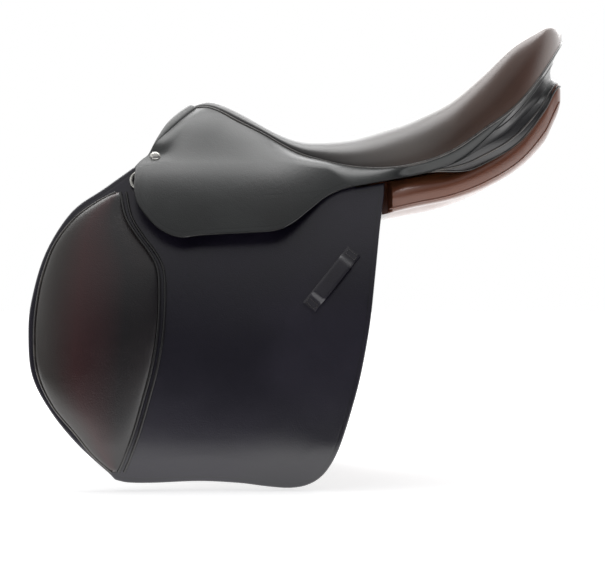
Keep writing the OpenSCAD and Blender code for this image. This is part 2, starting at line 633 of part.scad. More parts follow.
plate_low = -8;
rivet_d = 5;
rivet_x = [14, 54];
rivet_s = 8.5;
ear_gap = 3.4;
module stirrup_bar() color(steel) at_flap(bar_front, bar_h) difference() {
  h = finger_h;
  union() {
    translate([0, bar_seat, plate_low]) cube([bar_len + 6, bar_t, bar_seat_half - plate_low]);
    translate([0, bar_seat, -h / 2]) cube([bar_t + 4, 2 * bar_t + bar_slot, h]);
    translate([0, finger_in, -h / 2]) cube([bar_len - h / 2, bar_t, h]);
    translate([bar_len - h / 2, finger_in, 0]) rotate([-90, 0, 0]) cylinder(d = h, h = bar_t);
  }
  translate([bar_len - h - 1, finger_mid - ear_gap / 2, -h]) cube([2 * h, ear_gap, 2 * h]);
  translate([bar_len - h / 2, finger_in - 1, 0]) rotate([-90, 0, 0]) cylinder(d = pin_d, h = bar_t + 2);
  for (x = rivet_x) translate([x, bar_seat - 1, rivet_s]) rotate([-90, 0, 0])
    cylinder(d = rivet_d, h = bar_t + 2);
}
module bar_rivets() color(steel) at_flap(bar_front, bar_h)
  for (x = rivet_x) translate([x, bar_seat - 4, rivet_s]) rotate([-90, 0, 0]) {
    cylinder(d = rivet_d, h = bar_t + 4);
    translate([0, 0, bar_t + 4]) cylinder(d1 = rivet_d * 1.8, d2 = rivet_d, h = 2);
  }
catch_t = ear_gap - 2 * fit;
catch_h = finger_h - 2.4;
module bar_catch() color(steel) at_flap(bar_front + bar_len - finger_h / 2, bar_h) difference() {
  union() {
    translate([0, finger_mid - catch_t / 2, 0]) rotate([-90, 0, 0]) cylinder(d = catch_h, h = catch_t);
    translate([0, finger_mid - catch_t / 2, -catch_h / 2]) cube([catch_len - 4, catch_t, catch_h]);
    translate([catch_len - 4, finger_mid - catch_t / 2, 1]) rotate([-90, 0, 0])
      cylinder(d = catch_h + 2, h = catch_t);
  }
  translate([0, finger_in, 0]) rotate([-90, 0, 0]) cylinder(d = pin_d + 2 * run, h = bar_t);
}
module catch_pin() color(steel) at_flap(bar_front + bar_len - finger_h / 2, bar_h)
  translate([0, finger_in, 0]) rotate([-90, 0, 0]) cylinder(d = pin_d, h = bar_t);

// Dees at the front of the flaps, each swinging on its straight bar in a riveted chape

dee_place = [0.303, 0.94];
chape_wall = 1.2;
chape_len = 9;
chape_tab = 15;
chape_n = flap_out + fit + dee_wire / 2 + run + chape_wall;
module at_dee() {
  p = on_flap(dee_place);
  at_flap(p[0], p[1], chape_n) children();
}
module dee_ring() color(steel) at_dee() {
  cylinder(d = dee_wire, h = 2 * dee_r, center = true);
  rotate([90, 0, 0]) rotate(90) rotate_extrude(angle = 180) translate([dee_r, 0]) circle(d = dee_wire);
  for (s = [-1, 1]) translate([0, 0, s * dee_r]) sphere(d = dee_wire);
}
module dee_chape() color(steel) at_dee() {
  outer = dee_wire / 2 + run + chape_wall;
  difference() {
    union() {
      cylinder(r = outer, h = chape_len, center = true);
      translate([0, -outer, -chape_len / 2]) cube([chape_tab, 2 * chape_wall, chape_len]);
    }
    cylinder(d = dee_wire + 2 * run, h = 2 * chape_len, center = true);
  }
}

tree_head();
gullet_plate();
pommel_facing();
hand("left") tree_rail();  // tree_rail_left
hand("right") tree_rail();  // tree_rail_right
seat_canvas();
seat_foam();
seat_cover();
gullet_lining();
cantle_facing();
hand("left") skirt_band();  // skirt_band_left
hand("right") skirt_band();  // skirt_band_right
hand("left") panel();  // panel_left
hand("right") panel();  // panel_right
hand("left") sweat_flap();  // sweat_flap_left
hand("right") sweat_flap();  // sweat_flap_right
hand("left") knee_roll();  // knee_roll_left
hand("right") knee_roll();  // knee_roll_right
hand("left") stirrup_bar();  // stirrup_bar_left
hand("right") stirrup_bar();  // stirrup_bar_right
hand("left") bar_rivets();  // bar_rivets_left
hand("right") bar_rivets();  // bar_rivets_right
hand("left") bar_catch();  // bar_catch_left
hand("right") bar_catch();  // bar_catch_right
hand("left") catch_pin();  // catch_pin_left
hand("right") catch_pin();  // catch_pin_right
hand("left") girth_web();  // girth_web_left
hand("right") girth_web();  // girth_web_right
hand("left") buckle_guard();  // buckle_guard_left
hand("right") buckle_guard();  // buckle_guard_right
hand("left") girth_strap(0);  // girth_strap_left_1
hand("left") girth_strap(1);  // girth_strap_left_2
hand("left") girth_strap(2);  // girth_strap_left_3
hand("right") girth_strap(0);  // girth_strap_right_1
hand("right") girth_strap(1);  // girth_strap_right_2
hand("right") girth_strap(2);  // girth_strap_right_3
hand("left") flap();  // flap_left
hand("right") flap();  // flap_right
hand("left") knee_pad();  // knee_pad_left
hand("right") knee_pad();  // knee_pad_right
hand("left") leather_keeper();  // leather_keeper_left
hand("right") leather_keeper();  // leather_keeper_right
hand("left") dee_chape();  // dee_chape_left
hand("right") dee_chape();  // dee_chape_right
hand("left") dee_ring();  // dee_ring_left
hand("right") dee_ring();  // dee_ring_right
hand("left") skirt();  // skirt_left
hand("right") skirt();  // skirt_right
hand("left") saddle_nail();  // saddle_nail_left
hand("right") saddle_nail();  // saddle_nail_right
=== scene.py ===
"""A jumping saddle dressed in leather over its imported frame."""

import logging
import math
from dataclasses import dataclass, field
from enum import Enum
from typing import Callable, Iterable, Sequence

import bpy
import numpy as np
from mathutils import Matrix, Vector


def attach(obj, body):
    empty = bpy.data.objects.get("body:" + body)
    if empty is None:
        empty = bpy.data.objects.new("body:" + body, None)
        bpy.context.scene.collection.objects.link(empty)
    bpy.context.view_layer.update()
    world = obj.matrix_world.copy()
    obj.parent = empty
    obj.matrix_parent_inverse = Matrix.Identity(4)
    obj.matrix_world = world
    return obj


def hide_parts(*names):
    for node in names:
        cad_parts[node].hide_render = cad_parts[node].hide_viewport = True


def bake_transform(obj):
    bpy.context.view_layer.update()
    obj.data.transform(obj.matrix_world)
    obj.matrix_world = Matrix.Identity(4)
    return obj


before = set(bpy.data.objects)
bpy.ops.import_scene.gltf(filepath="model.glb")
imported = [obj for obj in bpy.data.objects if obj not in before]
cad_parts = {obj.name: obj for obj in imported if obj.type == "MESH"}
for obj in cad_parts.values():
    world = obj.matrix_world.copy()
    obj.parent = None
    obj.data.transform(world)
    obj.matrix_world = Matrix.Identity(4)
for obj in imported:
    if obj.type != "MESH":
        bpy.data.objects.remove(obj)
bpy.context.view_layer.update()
LOG = logging.getLogger("saddle")
MM = 0.001
WELD = 2e-6
SHARP_TURN = 0.4
ROUND_EDGE = 1.4
JOIN_FADE = 3
RIM_INSETS = (1.8, 2.6, 3.4, 4, 4.6, 5.4, 7, 9, 12, 16, 21)
RIM_DEPTH = 27
RIM_SHARES = (0, 0.16, 0.3, 0.44, 0.58, 0.72, 0.86, 1)
FAR_IN = 9
STITCH_SHARE = 0.36

Spot = tuple[float, float, float]
Flat = tuple[float, float]
Rows = Sequence[Sequence[float]]
Face = Callable[[float, float], Spot]


class Side(Enum):
    """Near side of the saddle, where Y is negative, and off side."""

    LEFT = -1
    RIGHT = 1

    @property
    def word(self) -> str:
        """The side's name in node and body names."""
        return self.name.lower()

    def at(self, p: Spot) -> Vector:
        """A point of the off side in millimetres, laid on this side in metres."""
        return Vector((p[0] * MM, self.value * p[1] * MM, p[2] * MM))


def lerp(a: float, b: float, t: float) -> float:
    """The value at share t between a and b."""
    return a + (b - a) * t


def smooth(t: float) -> float:
    """An even ramp from 0 to 1 with soft ends."""
    c = min(1.0, max(0.0, t))
    return c * c * (3 - 2 * c)


def curve(rows: Rows, x: float, k: int = 1) -> float:
    """Reads a smooth curve through stations.

    Args:
        rows: Stations, each its place and then its values.
        x: Place to read at.
        k: Which of the values to read.

    Returns:
        The value there.
    """
    i = 0
    while i < len(rows) - 2 and x >= rows[i + 1][0]:
        i += 1

    def slope(j: int) -> float:
        """Rise of the value at station j."""
        a, b = max(0, j - 1), min(len(rows) - 1, j + 1)
        return (rows[b][k] - rows[a][k]) / (rows[b][0] - rows[a][0])

    h = rows[i + 1][0] - rows[i][0]
    t = (x - rows[i][0]) / h
    return (lerp(rows[i][k], rows[i + 1][k], smooth(t))
            + h * t * (1 - t) * ((1 - t) * slope(i) - t * slope(i + 1)))


def path(points: Sequence[Flat], steps: int) -> list[Flat]:
    """Draws an open smooth line through flat points.

    Args:
        points: Points that the line passes.
        steps: Steps between two of them.

    Returns:
        The points of the line.
    """
    out: list[Flat] = []
    last = len(points) - 1
    for i in range(last):
        a, b = points[max(0, i - 1)], points[i]
        c, d = points[i + 1], points[min(last, i + 2)]
        for j in range(steps + (i == last - 1)):
            t = j / steps
            out.append(tuple(0.5 * (2 * b[n] + (c[n] - a[n]) * t
                                    + (2 * a[n] - 5 * b[n] + 4 * c[n] - d[n]) * t * t
                                    + (3 * b[n] - a[n] - 3 * c[n] + d[n]) * t ** 3) for n in (0, 1)))
    return out


def bridge(p: Flat, q: Flat, run_p: Flat, run_q: Flat, t: float) -> Flat:
    """A point at share t of the soft curve from p along run_p to q along run_q."""
    h = (2 * t ** 3 - 3 * t * t + 1, t ** 3 - 2 * t * t + t, 3 * t * t - 2 * t ** 3, t ** 3 - t * t)
    return tuple(h[0] * p[n] + h[1] * run_p[n] + h[2] * q[n] + h[3] * run_q[n] for n in (0, 1))


@dataclass(frozen=True)
class SaddleForm:
    """Sizes and surfaces that the pieces share, in millimetres on the off side."""

    seat_front: float = -130
    cantle_x: float = 251
    cantle_h: float = 190
    pommel_h: float = 121
    pommel_x: float = -122
    dip_h: float = 79
    dip_front: float = -8
    dip_rear: float = 35
    cantle_rise: float = 2.2
    seat_w: float = 270
    widest: float = 0.68
    cantle_tip: float = 0.07
    hinge_half: float = 104
    hinge_h: float = 48
    bend_r: float = 720
    plumb_h: float = -290
    flap_front: float = -283
    flap_rear: float = 63
    flap_low: float = -267
    tail_front: float = 20
    tail_run: float = 14
    bow: Flat = (4, 0.055)
    nose_drop: Flat = (1.0, 0.06)
    level: float = 0.35
    seam_drop: float = 0.9
    seat_edge: Rows = ((0, 0.15, 5, 0, 0.1), (0.06, 0.29, 10, 0, 0.1), (0.12, 0.39, 14, 0, 0.1),
                       (0.2, 0.47, 14, 0, 0.12), (0.3, 0.55, 20, 0, 0.2), (0.4, 0.65, 30, 0, 0.35),
                       (0.5, 0.79, 35, 6, 0.5), (0.6, 0.94, 37, 11, 0.62), (0.68, 1, 36, 15, 0.68),
                       (0.76, 1, 30.5, 24.5, 0.7), (0.84, 1, 28.5, 32.5, 0.72), (0.91, 1, 21.5, 27.5, 0.74),
                       (0.96, 1, 13.5, 18.5, 0.74), (1, 1, 8, 0, 0.6))

    def seat_x(self, t: float) -> float:
        """Place along the saddle at share t of the seat."""
        return lerp(self.seat_front, self.cantle_x, t)

    def seat_t(self, x: float) -> float:
        """Share of the seat at a place along the saddle."""
        return (x - self.seat_front) / (self.cantle_x - self.seat_front)

    def crown(self, x: float) -> float:
        """Height of the seat along its middle.

        Args:
            x: Place along the saddle.

        Returns:
            The height, rounded down at the pommel.
        """
        if x < self.dip_rear:
            share = (x - self.pommel_x) / (self.dip_front - self.pommel_x)
            bow = self.bow[0] * max(0.0, 1 - self.seat_t(x) / self.bow[1]) ** 2
            return lerp(self.pommel_h, self.dip_h, smooth(share)) - bow
        share = (x - self.dip_rear) / (self.cantle_x - self.dip_rear)
        return self.dip_h + (self.cantle_h - self.dip_h) * share ** self.cantle_rise

    def seat_half(self, t: float) -> float:
        """Half width of the seat.

        Args:
            t: Share of the seat's length.

        Returns:
            The half width, which closes round the cantle.
        """
        past = max(0.0, t - self.widest) / (1 - self.widest)
        turn = math.sqrt(max(0.0, 1 - past * past))
        return self.seat_w / 2 * curve(self.seat_edge, t, 1) * max(self.cantle_tip, turn)

    def edge_z(self, t: float) -> float:
        """Height of the seat's seam at share t."""
        return self.crown(self.seat_x(t)) - curve(self.seat_edge, t, 2)

    def seat_top(self, t: float, across: float) -> Spot:
        """A point of the seat's leather.

        Args:
            t: Share of the seat's length.
            across: Place across it, from -1 at one seam to 1 at the other.

        Returns:
            The point.
        """
        a, side = abs(across), math.copysign(1, across)
        w, z = self.seat_half(t), self.crown(self.seat_x(t))
        drop, dish = curve(self.seat_edge, t, 2), curve(self.seat_edge, t, 3)
        flat = curve(self.seat_edge, t, 4)
        if a < self.level:
            return self.seat_x(t), side * w * flat * a / self.level, z + dish * smooth(a / self.level)
        turn = math.pi / 2 * (a - self.level) / (1 - self.level)
        return (self.seat_x(t), side * w * (flat + (1 - flat) * math.sin(turn)),
                z - drop + (dish + drop) * math.cos(turn))

    def nose(self, t: float) -> float:
        """How far the seat's leather rounds down at the pommel."""
        return self.nose_drop[0] * max(0.0, 1 - t / self.nose_drop[1]) ** 2

    def seam(self, t: float) -> Spot:
        """The seam under the seat's edge at share t."""
        return self.seat_x(t), self.seat_half(t), self.edge_z(t) - self.seam_drop

    def plan_run(self, t: float) -> Flat:
        """Direction of the seat's outline seen from above.

        Args:
            t: Share of the seat's length.

        Returns:
            Its parts along and across the saddle.
        """
        a, b = max(0.0, t - 0.01), min(1.0, t + 0.01)
        dx, dy = self.seat_x(b) - self.seat_x(a), self.seat_half(b) - self.seat_half(a)
        return dx / math.hypot(dx, dy), dy / math.hypot(dx, dy)

    def lean(self, z: float) -> float:
        """How far the flap's surface leans out at height z, in radians."""
        return math.asin((z - self.plumb_h) / self.bend_r)

    def half_at(self, z: float, n: float = 0) -> float:
        """Half width of the layer n outside the flap's surface at height z."""
        low = math.sqrt(self.bend_r ** 2 - (self.hinge_h - self.plumb_h) ** 2)
        return self.hinge_half - low + math.sqrt((self.bend_r + n) ** 2 - (z - self.plumb_h) ** 2)

    def on_flap(self, p: Flat) -> Flat:
        """Place along the saddle and height from shares of the flap's width and height."""
        return lerp(self.flap_front, self.flap_rear, p[0]), lerp(self.flap_low, self.hinge_h, p[1])


FORM = SaddleForm()


def clear_selection() -> None:
    """Leaves object mode with nothing selected."""
    if bpy.context.object and bpy.context.object.mode != "OBJECT":
        bpy.ops.object.mode_set(mode="OBJECT")
    bpy.ops.object.select_all(action="DESELECT")


def take(piece: bpy.types.Object) -> None:
    """Selects one piece alone and makes it active."""
    clear_selection()
    piece.select_set(True)
    bpy.context.view_layer.objects.active = piece


def finish_with(piece: bpy.types.Object, kind: str, **settings: object) -> None:
    """Adds a modifier to a piece and applies it.

    Args:
        piece: The piece.
        kind: Blender's name of the modifier.
        settings: What to set on it.
    """
    take(piece)
    modifier = piece.modifiers.new(kind.title(), kind)
    for key, value in settings.items():
        setattr(modifier, key, value)
    bpy.ops.object.modifier_apply(modifier=modifier.name)


def smooth_faces(piece: bpy.types.Object, angle: float = 50) -> None:
    """Shades a piece smooth but for edges sharper than angle, in degrees."""
    take(piece)
    bpy.ops.object.shade_smooth_by_angle(angle=math.radians(angle))


def net(name: str, cols: int, rows: int, place: Callable[[float, float], Vector]) -> bpy.types.Object:
    """Adds a grid primitive, lays its points by a rule and closes its seams, poles and ends.

    Args:
        name: Name of the piece.
        cols: Faces along the first direction.
        rows: Faces along the second direction.
        place: Gives a point in metres from two shares of 0 to 1.

    Returns:
        The piece, at the origin, with its faces outwards.
    """
    clear_selection()
    bpy.ops.mesh.primitive_grid_add(x_subdivisions=cols, y_subdivisions=rows, size=2)
    piece = bpy.context.object
    piece.name = piece.data.name = name
    for vertex in piece.data.vertices:
        vertex.co = place((vertex.co.x + 1) / 2, (vertex.co.y + 1) / 2)
    bpy.ops.object.mode_set(mode="EDIT")
    bpy.ops.mesh.select_all(action="SELECT")
    bpy.ops.mesh.remove_doubles(threshold=WELD)
    bpy.ops.mesh.fill_holes(sides=0)
    bpy.ops.mesh.select_all(action="SELECT")
    bpy.ops.mesh.normals_make_consistent(inside=False)
    bpy.ops.object.mode_set(mode="OBJECT")
    smooth_faces(piece)
    return piece


def shell(name: str, cols: int, rows: int, side: Side, outer: Face, inner: Face) -> bpy.types.Object:
    """Makes a closed piece between an outer and an inner surface.

    Args:
        name: Name of the piece.
        cols: Faces along the piece.
        rows: Faces across one of its surfaces.
        side: Side of the saddle that it is on.
        outer: Gives a point outside from shares along and across.
        inner: Gives the point under it.

    Returns:
        The piece.
    """
    turn = 2 * rows + 2

    def place(u: float, v: float) -> Vector:
        """The point at two shares.

        Args:
            u: Share along the piece.
            v: Share round it, over the outer face and back under it.

        Returns:
            The point in metres.
        """
        step = round(v * turn)
        if step <= rows:
            return side.at(outer(u, step / rows))
        if step <= 2 * rows + 1:
            return side.at(inner(u, (2 * rows + 1 - step) / rows))
        return side.at(outer(u, 0))

    return net(name, cols, turn, place)


@dataclass(frozen=True)
class Outline:
    """A closed outline in the side view. Where free is set, only that many first points are a cut edge."""

    points: tuple[Flat, ...]
    centre: Flat
    free: int = 0

    def distance(self, x: float, z: float) -> float:
        """How far a point lies from the cut edge.

        Args:
            x: Place along the saddle.
            z: Height.

        Returns:
            The distance in millimetres.
        """
        a = np.array(self.points)
        d = np.roll(a, -1, axis=0) - a
        if self.free:
            a, d = a[:self.free - 1], d[:self.free - 1]
        p = np.array((x, z)) - a
        t = np.clip((p * d).sum(1) / np.maximum(1e-9, (d * d).sum(1)), 0, 1)
        return float(np.sqrt(((p - d * t[:, None]) ** 2).sum(1).min()))

    def even(self, count: int) -> list[Flat]:
        """The outline in even steps, the nearest step moved to each sharp corner.

        Args:
            count: How many steps.

        Returns:
            The points.
        """
        a = np.array(self.points + self.points[:1])
        run = np.concatenate(([0], np.cumsum(np.hypot(*np.diff(a, axis=0).T))))
        at = np.linspace(0, run[-1], count, endpoint=False)
        go = np.diff(a, axis=0) @ np.array((1, 1j))
        for i in np.nonzero(np.abs(np.angle(go / np.roll(go, 1))) > SHARP_TURN)[0]:
            at[np.abs(at - run[i]).argmin()] = run[i]
        return list(zip(np.interp(at, run, a[:, 0]), np.interp(at, run, a[:, 1])))


def leaf(name: str, outline: Outline, side: Side, outer: Face, inner: Face,
         count: int = 260) -> bpy.types.Object:
    """Makes a closed leather piece of an outline, with a rounded rim and its edge distance kept.

    Args:
        name: Name of the piece.
        outline: Its outline in the side view.
        side: Side of the saddle.
        outer: Gives a point outside from place and height.
        inner: Gives the point under it.
        count: Steps round the outline.

    Returns:
        The piece, with the edge distance in millimetres as the attribute "edge".
    """
    ring = outline.even(count)
    cut = [1 - smooth(outline.distance(*p) / JOIN_FADE) for p in ring]
    rim = [("rim", ROUND_EDGE * inset, depth)
           for inset, depth in ((1, 0.0), (0.3, 0.12), (0, 0.5), (0.3, 0.88), (1, 1.0))]
    deep = [("share", s, 0.0) for s in RIM_SHARES] + [("inset", i, 0.0) for i in reversed(RIM_INSETS)]
    rows = deep + rim + [(kind, value, 1.0) for kind, value, _ in reversed(deep)]
    kept: dict[tuple[int, ...], float] = {}

    def key(point: Vector) -> tuple[int, ...]:
        """A point's place in steps of half a micrometre."""
        return tuple(round(c / MM / MM * 2) for c in point)

    def place(u: float, v: float) -> Vector:
        """The point at two shares.

        Args:
            u: Share round the outline.
            v: Share from the middle over the rim to the middle of the back.

        Returns:
            The point in metres, whose edge distance is kept.
        """
        i, j = round(u * count) % count, round(v * (len(rows) - 1))
        kind, value, depth = rows[j]
        reach = math.dist(ring[i], outline.centre)
        inset = value * cut[i] if kind == "rim" else value
        r = value * (1 - RIM_DEPTH / reach) if kind == "share" else 1 - inset / reach
        x, z = (lerp(outline.centre[n], ring[i][n], r) for n in (0, 1))
        a, b = outer(x, z), inner(x, z)
        point = side.at(tuple(lerp(a[n], b[n], depth) for n in range(3)))
        kept[key(point)] = outline.distance(x, z)
        return point

    piece = net(name, count, len(rows) - 1, place)
    layer = piece.data.attributes.new("edge", "FLOAT", "POINT")
    for vertex in piece.data.vertices:
        layer.data[vertex.index].value = kept.get(key(vertex.co), FAR_IN)
    return piece


def tube(name: str, points: Sequence[Vector], radius: float) -> bpy.types.Object:
    """Lays a round welt of leather along points.

    Args:
        name: Name of the piece.
        points: Places in metres that it passes.
        radius: Its radius in millimetres.

    Returns:
        The piece.
    """
    line = bpy.data.curves.new(name, "CURVE")
    line.dimensions = "3D"
    line.bevel_depth = radius * MM
    line.bevel_resolution = 2
    line.use_fill_caps = True
    spline = line.splines.new("POLY")
    spline.points.add(len(points) - 1)
    for knot, p in zip(spline.points, points):
        knot.co = (*p, 1)
    piece = bpy.data.objects.new(name, line)
    bpy.context.collection.objects.link(piece)
    take(piece)
    bpy.ops.object.convert(target="MESH")
    piece = bpy.context.object
    piece.data.name = name
    smooth_faces(piece)
    return piece


def sew(name: str, lines: Iterable[Sequence[Vector]], pitch: float, thick: float) -> bpy.types.Object:
    """Sews stitches along lines: one stitch is modelled and copied.

    Args:
        name: Name of the piece.
        lines: Lines of points in metres.
        pitch: Length of a stitch with its gap, in millimetres.
        thick: Radius of the thread.

    Returns:
        All the stitches as one piece.
    """
    clear_selection()
    bpy.ops.mesh.primitive_uv_sphere_add(segments=6, ring_count=4, radius=1)
    model = bpy.context.object
    body = np.array([v.co[:] for v in model.data.vertices])
    faces = [tuple(p.vertices) for p in model.data.polygons]
    bpy.data.objects.remove(model)
    points: list[np.ndarray] = []
    sides: list[tuple[int, ...]] = []
    for line in lines:
        a = np.array([p[:] for p in line])
        run = np.concatenate(([0], np.cumsum(np.linalg.norm(np.diff(a, axis=0), axis=1))))
        for at in np.arange(pitch * MM * 0.5, run[-1], pitch * MM):
            ends = [np.array([np.interp(s, run, a[:, n]) for n in range(3)])
                    for s in (at - STITCH_SHARE * pitch * MM, at + STITCH_SHARE * pitch * MM)]
            way = ends[1] - ends[0]
            long = np.linalg.norm(way)
            if long < 1e-6:
                continue
            way = way / long
            up = np.cross(way, (0.3, 0.2, 0.93))
            up /= np.linalg.norm(up)
            turn = np.stack((way * long * 0.5, up * thick * MM, np.cross(way, up) * thick * MM))
            base = sum(len(p) for p in points)
            points.append(body @ turn + (ends[0] + ends[1]) / 2)
            sides += [tuple(i + base for i in f) for f in faces]
    mesh = bpy.data.meshes.new(name)
    mesh.from_pydata(np.concatenate(points).tolist(), [], sides)
    piece = bpy.data.objects.new(name, mesh)
    bpy.context.collection.objects.link(piece)
    take(piece)
    bpy.ops.object.mode_set(mode="EDIT")
    bpy.ops.mesh.select_all(action="SELECT")
    bpy.ops.mesh.normals_make_consistent(inside=False)
    bpy.ops.object.mode_set(mode="OBJECT")
    smooth_faces(piece, 80)
    return piece


def paint(red: float, green: float, blue: float) -> tuple[float, float, float, float]:
    """A colour for a shader from the 0 to 255 values that it shows as."""
    parts = [c / 255 for c in (red, green, blue)]
    return (*[c / 12.92 if c <= 0.04045 else ((c + 0.055) / 1.055) ** 2.4 for c in parts], 1.0)


class Graph:
    """Adds and links the nodes of one shader tree."""

    def __init__(self, tree: bpy.types.NodeTree) -> None:
        """Keeps the tree and empties it."""
        self.tree = tree
        tree.nodes.clear()

    def node(self, kind: str, inputs: dict | None = None, **settings: object) -> bpy.types.Node:
        """Adds a node.

        Args:
            kind: Its type without the leading words "ShaderNode".
            inputs: Values or sockets for its inputs, by name or number.
            settings: Properties to set on it.

        Returns:
            The node.
        """
        new = self.tree.nodes.new(kind if kind.startswith("Node") else "ShaderNode" + kind)
        for key, value in settings.items():
            setattr(new, key, value)
        for key, value in (inputs or {}).items():
            if isinstance(value, bpy.types.NodeSocket):
                self.tree.links.new(value, new.inputs[key])
            else:
                new.inputs[key].default_value = value
        return new

    def sum(self, how: str, a: object, b: object = 0.5) -> bpy.types.NodeSocket:
        """The result of a Math node on two values or sockets."""
        return self.node("Math", {0: a, 1: b}, operation=how).outputs[0]

    def mix(self, share: object, a: object, b: object) -> bpy.types.NodeSocket:
        """Two colours mixed by a share."""
        return self.node("Mix", {0: share, 6: a, 7: b}, data_type="RGBA").outputs[2]

    def ramp(self, share: bpy.types.NodeSocket, stops: Sequence[tuple[float, tuple]]) -> bpy.types.NodeSocket:
        """A colour read along a ramp.

        Args:
            share: Where to read it.
            stops: Place and colour of each stop.

        Returns:
            The colour.
        """
        new = self.node("ValToRGB", {0: share})
        keys = new.color_ramp.elements
        while len(keys) < len(stops):
            keys.new(0.5)
        for key, (at, colour) in zip(keys, stops):
            key.position, key.color = at, colour
        return new.outputs[0]

    def step(self, value: object, low: float, high: float) -> bpy.types.NodeSocket:
        """A soft ramp from 0 at low to 1 at high."""
        return self.node("MapRange", {0: value, 1: low, 2: high},
                         interpolation_type="SMOOTHSTEP").outputs[0]


class Effects:
    """Shader groups that several finishes use, each built once."""

    @staticmethod
    def group(name: str, takes: Sequence[tuple[str, float]], gives: Sequence[str]) -> tuple:
        """Starts a group.

        Args:
            name: Its name.
            takes: Names and first values of its inputs.
            gives: Names of its outputs.

        Returns:
            The tree, its graph, its input node and its output node.
        """
        tree = bpy.data.node_groups.new(name, "ShaderNodeTree")
        for label, value in takes:
            socket = tree.interface.new_socket(name=label, in_out="INPUT", socket_type="NodeSocketFloat")
            socket.default_value = value
        for label in gives:
            tree.interface.new_socket(name=label, in_out="OUTPUT", socket_type="NodeSocketFloat")
        graph = Graph(tree)
        return tree, graph, graph.node("NodeGroupInput"), graph.node("NodeGroupOutput")

    def __init__(self) -> None:
        """Builds the groups."""
        self.hide = self.build_hide()
        self.rim = self.build_rim()

    def build_hide(self) -> bpy.types.NodeTree:
        """Leather: pores, creases and cloudy tone.

        Returns:
            The group.
        """
        tree, g, takes, gives = self.group("Hide", [("Pores", 900), ("Clouds", 9), ("Creases", 55)],
                                           ["Height", "Tone"])
        where = g.node("TexCoord").outputs["Object"]
        cells = g.node("TexVoronoi", {"Vector": where, "Scale": takes.outputs["Pores"]})
        bend = g.node("TexNoise", {"Vector": where, "Scale": takes.outputs["Creases"], "Detail": 4.0,
                                   "Roughness": 0.62, "Distortion": 0.8})
        cloud = g.node("TexNoise", {"Vector": where, "Scale": takes.outputs["Clouds"], "Detail": 3.0})
        fold = g.sum("ABSOLUTE", g.sum("SUBTRACT", bend.outputs[0], 0.5))
        crease = g.step(fold, 0.0, 0.045)
        height = g.sum("ADD", g.sum("MULTIPLY", cells.outputs["Distance"], 0.8),
                       g.sum("MULTIPLY", crease, 0.35))
        links = g.tree.links
        links.new(height, gives.inputs["Height"])
        links.new(g.step(cloud.outputs[0], 0.32, 0.68), gives.inputs["Tone"])
        return tree

    def build_rim(self) -> bpy.types.NodeTree:
        """Edge of a cut piece: worn rim, and a creased line beside it that the leather darkens as painted
        shade.

        Returns:
            The group.
        """
        tree, g, takes, gives = self.group("Rim", [("Edge", FAR_IN), ("Line", 4.5), ("Wear", 2.2)],
                                           ["Worn", "Groove"])
        edge = takes.outputs["Edge"]
        off = g.sum("ABSOLUTE", g.sum("SUBTRACT", edge, takes.outputs["Line"]))
        links = g.tree.links
        links.new(g.sum("SUBTRACT", 1.0, g.step(off, 0.3, 1.2)), gives.inputs["Groove"])
        worn = g.sum("DIVIDE", edge, takes.outputs["Wear"])
        links.new(g.sum("SUBTRACT", 1.0, g.step(worn, 0.25, 1.0)), gives.inputs["Worn"])
        return tree


EFFECTS = Effects()


class Finish:
    """What all finishes share: how their material starts, ends and is looked up."""

    name: str

    def material(self) -> bpy.types.Material:
        """The material, built at its first use."""
        return bpy.data.materials.get(self.name) or self.build()

    def start(self) -> tuple[bpy.types.Material, Graph]:
        """A new material and the graph of its empty tree."""
        made = bpy.data.materials.new(self.name)
        made.use_nodes = True
        return made, Graph(made.node_tree)

    @staticmethod
    def close(g: Graph, skin: bpy.types.Node, height: bpy.types.NodeSocket, strength: float,
              depth: float) -> None:
        """Gives a surface its relief and links it to the output.

        Args:
            g: Graph of the material.
            skin: Surface node.
            height: Relief of the surface.
            strength: Strength of the relief.
            depth: Depth of the relief in metres.
        """
        bump = g.node("Bump", {"Strength": strength, "Distance": depth, "Height": height})
        g.tree.links.new(bump.outputs[0], skin.inputs["Normal"])
        g.node("OutputMaterial", {"Surface": skin.outputs[0]})


class Tint(Enum):
    """How a leather's colour runs over the piece."""

    EVEN = 0
    ALONG = 1
    ACROSS = 2


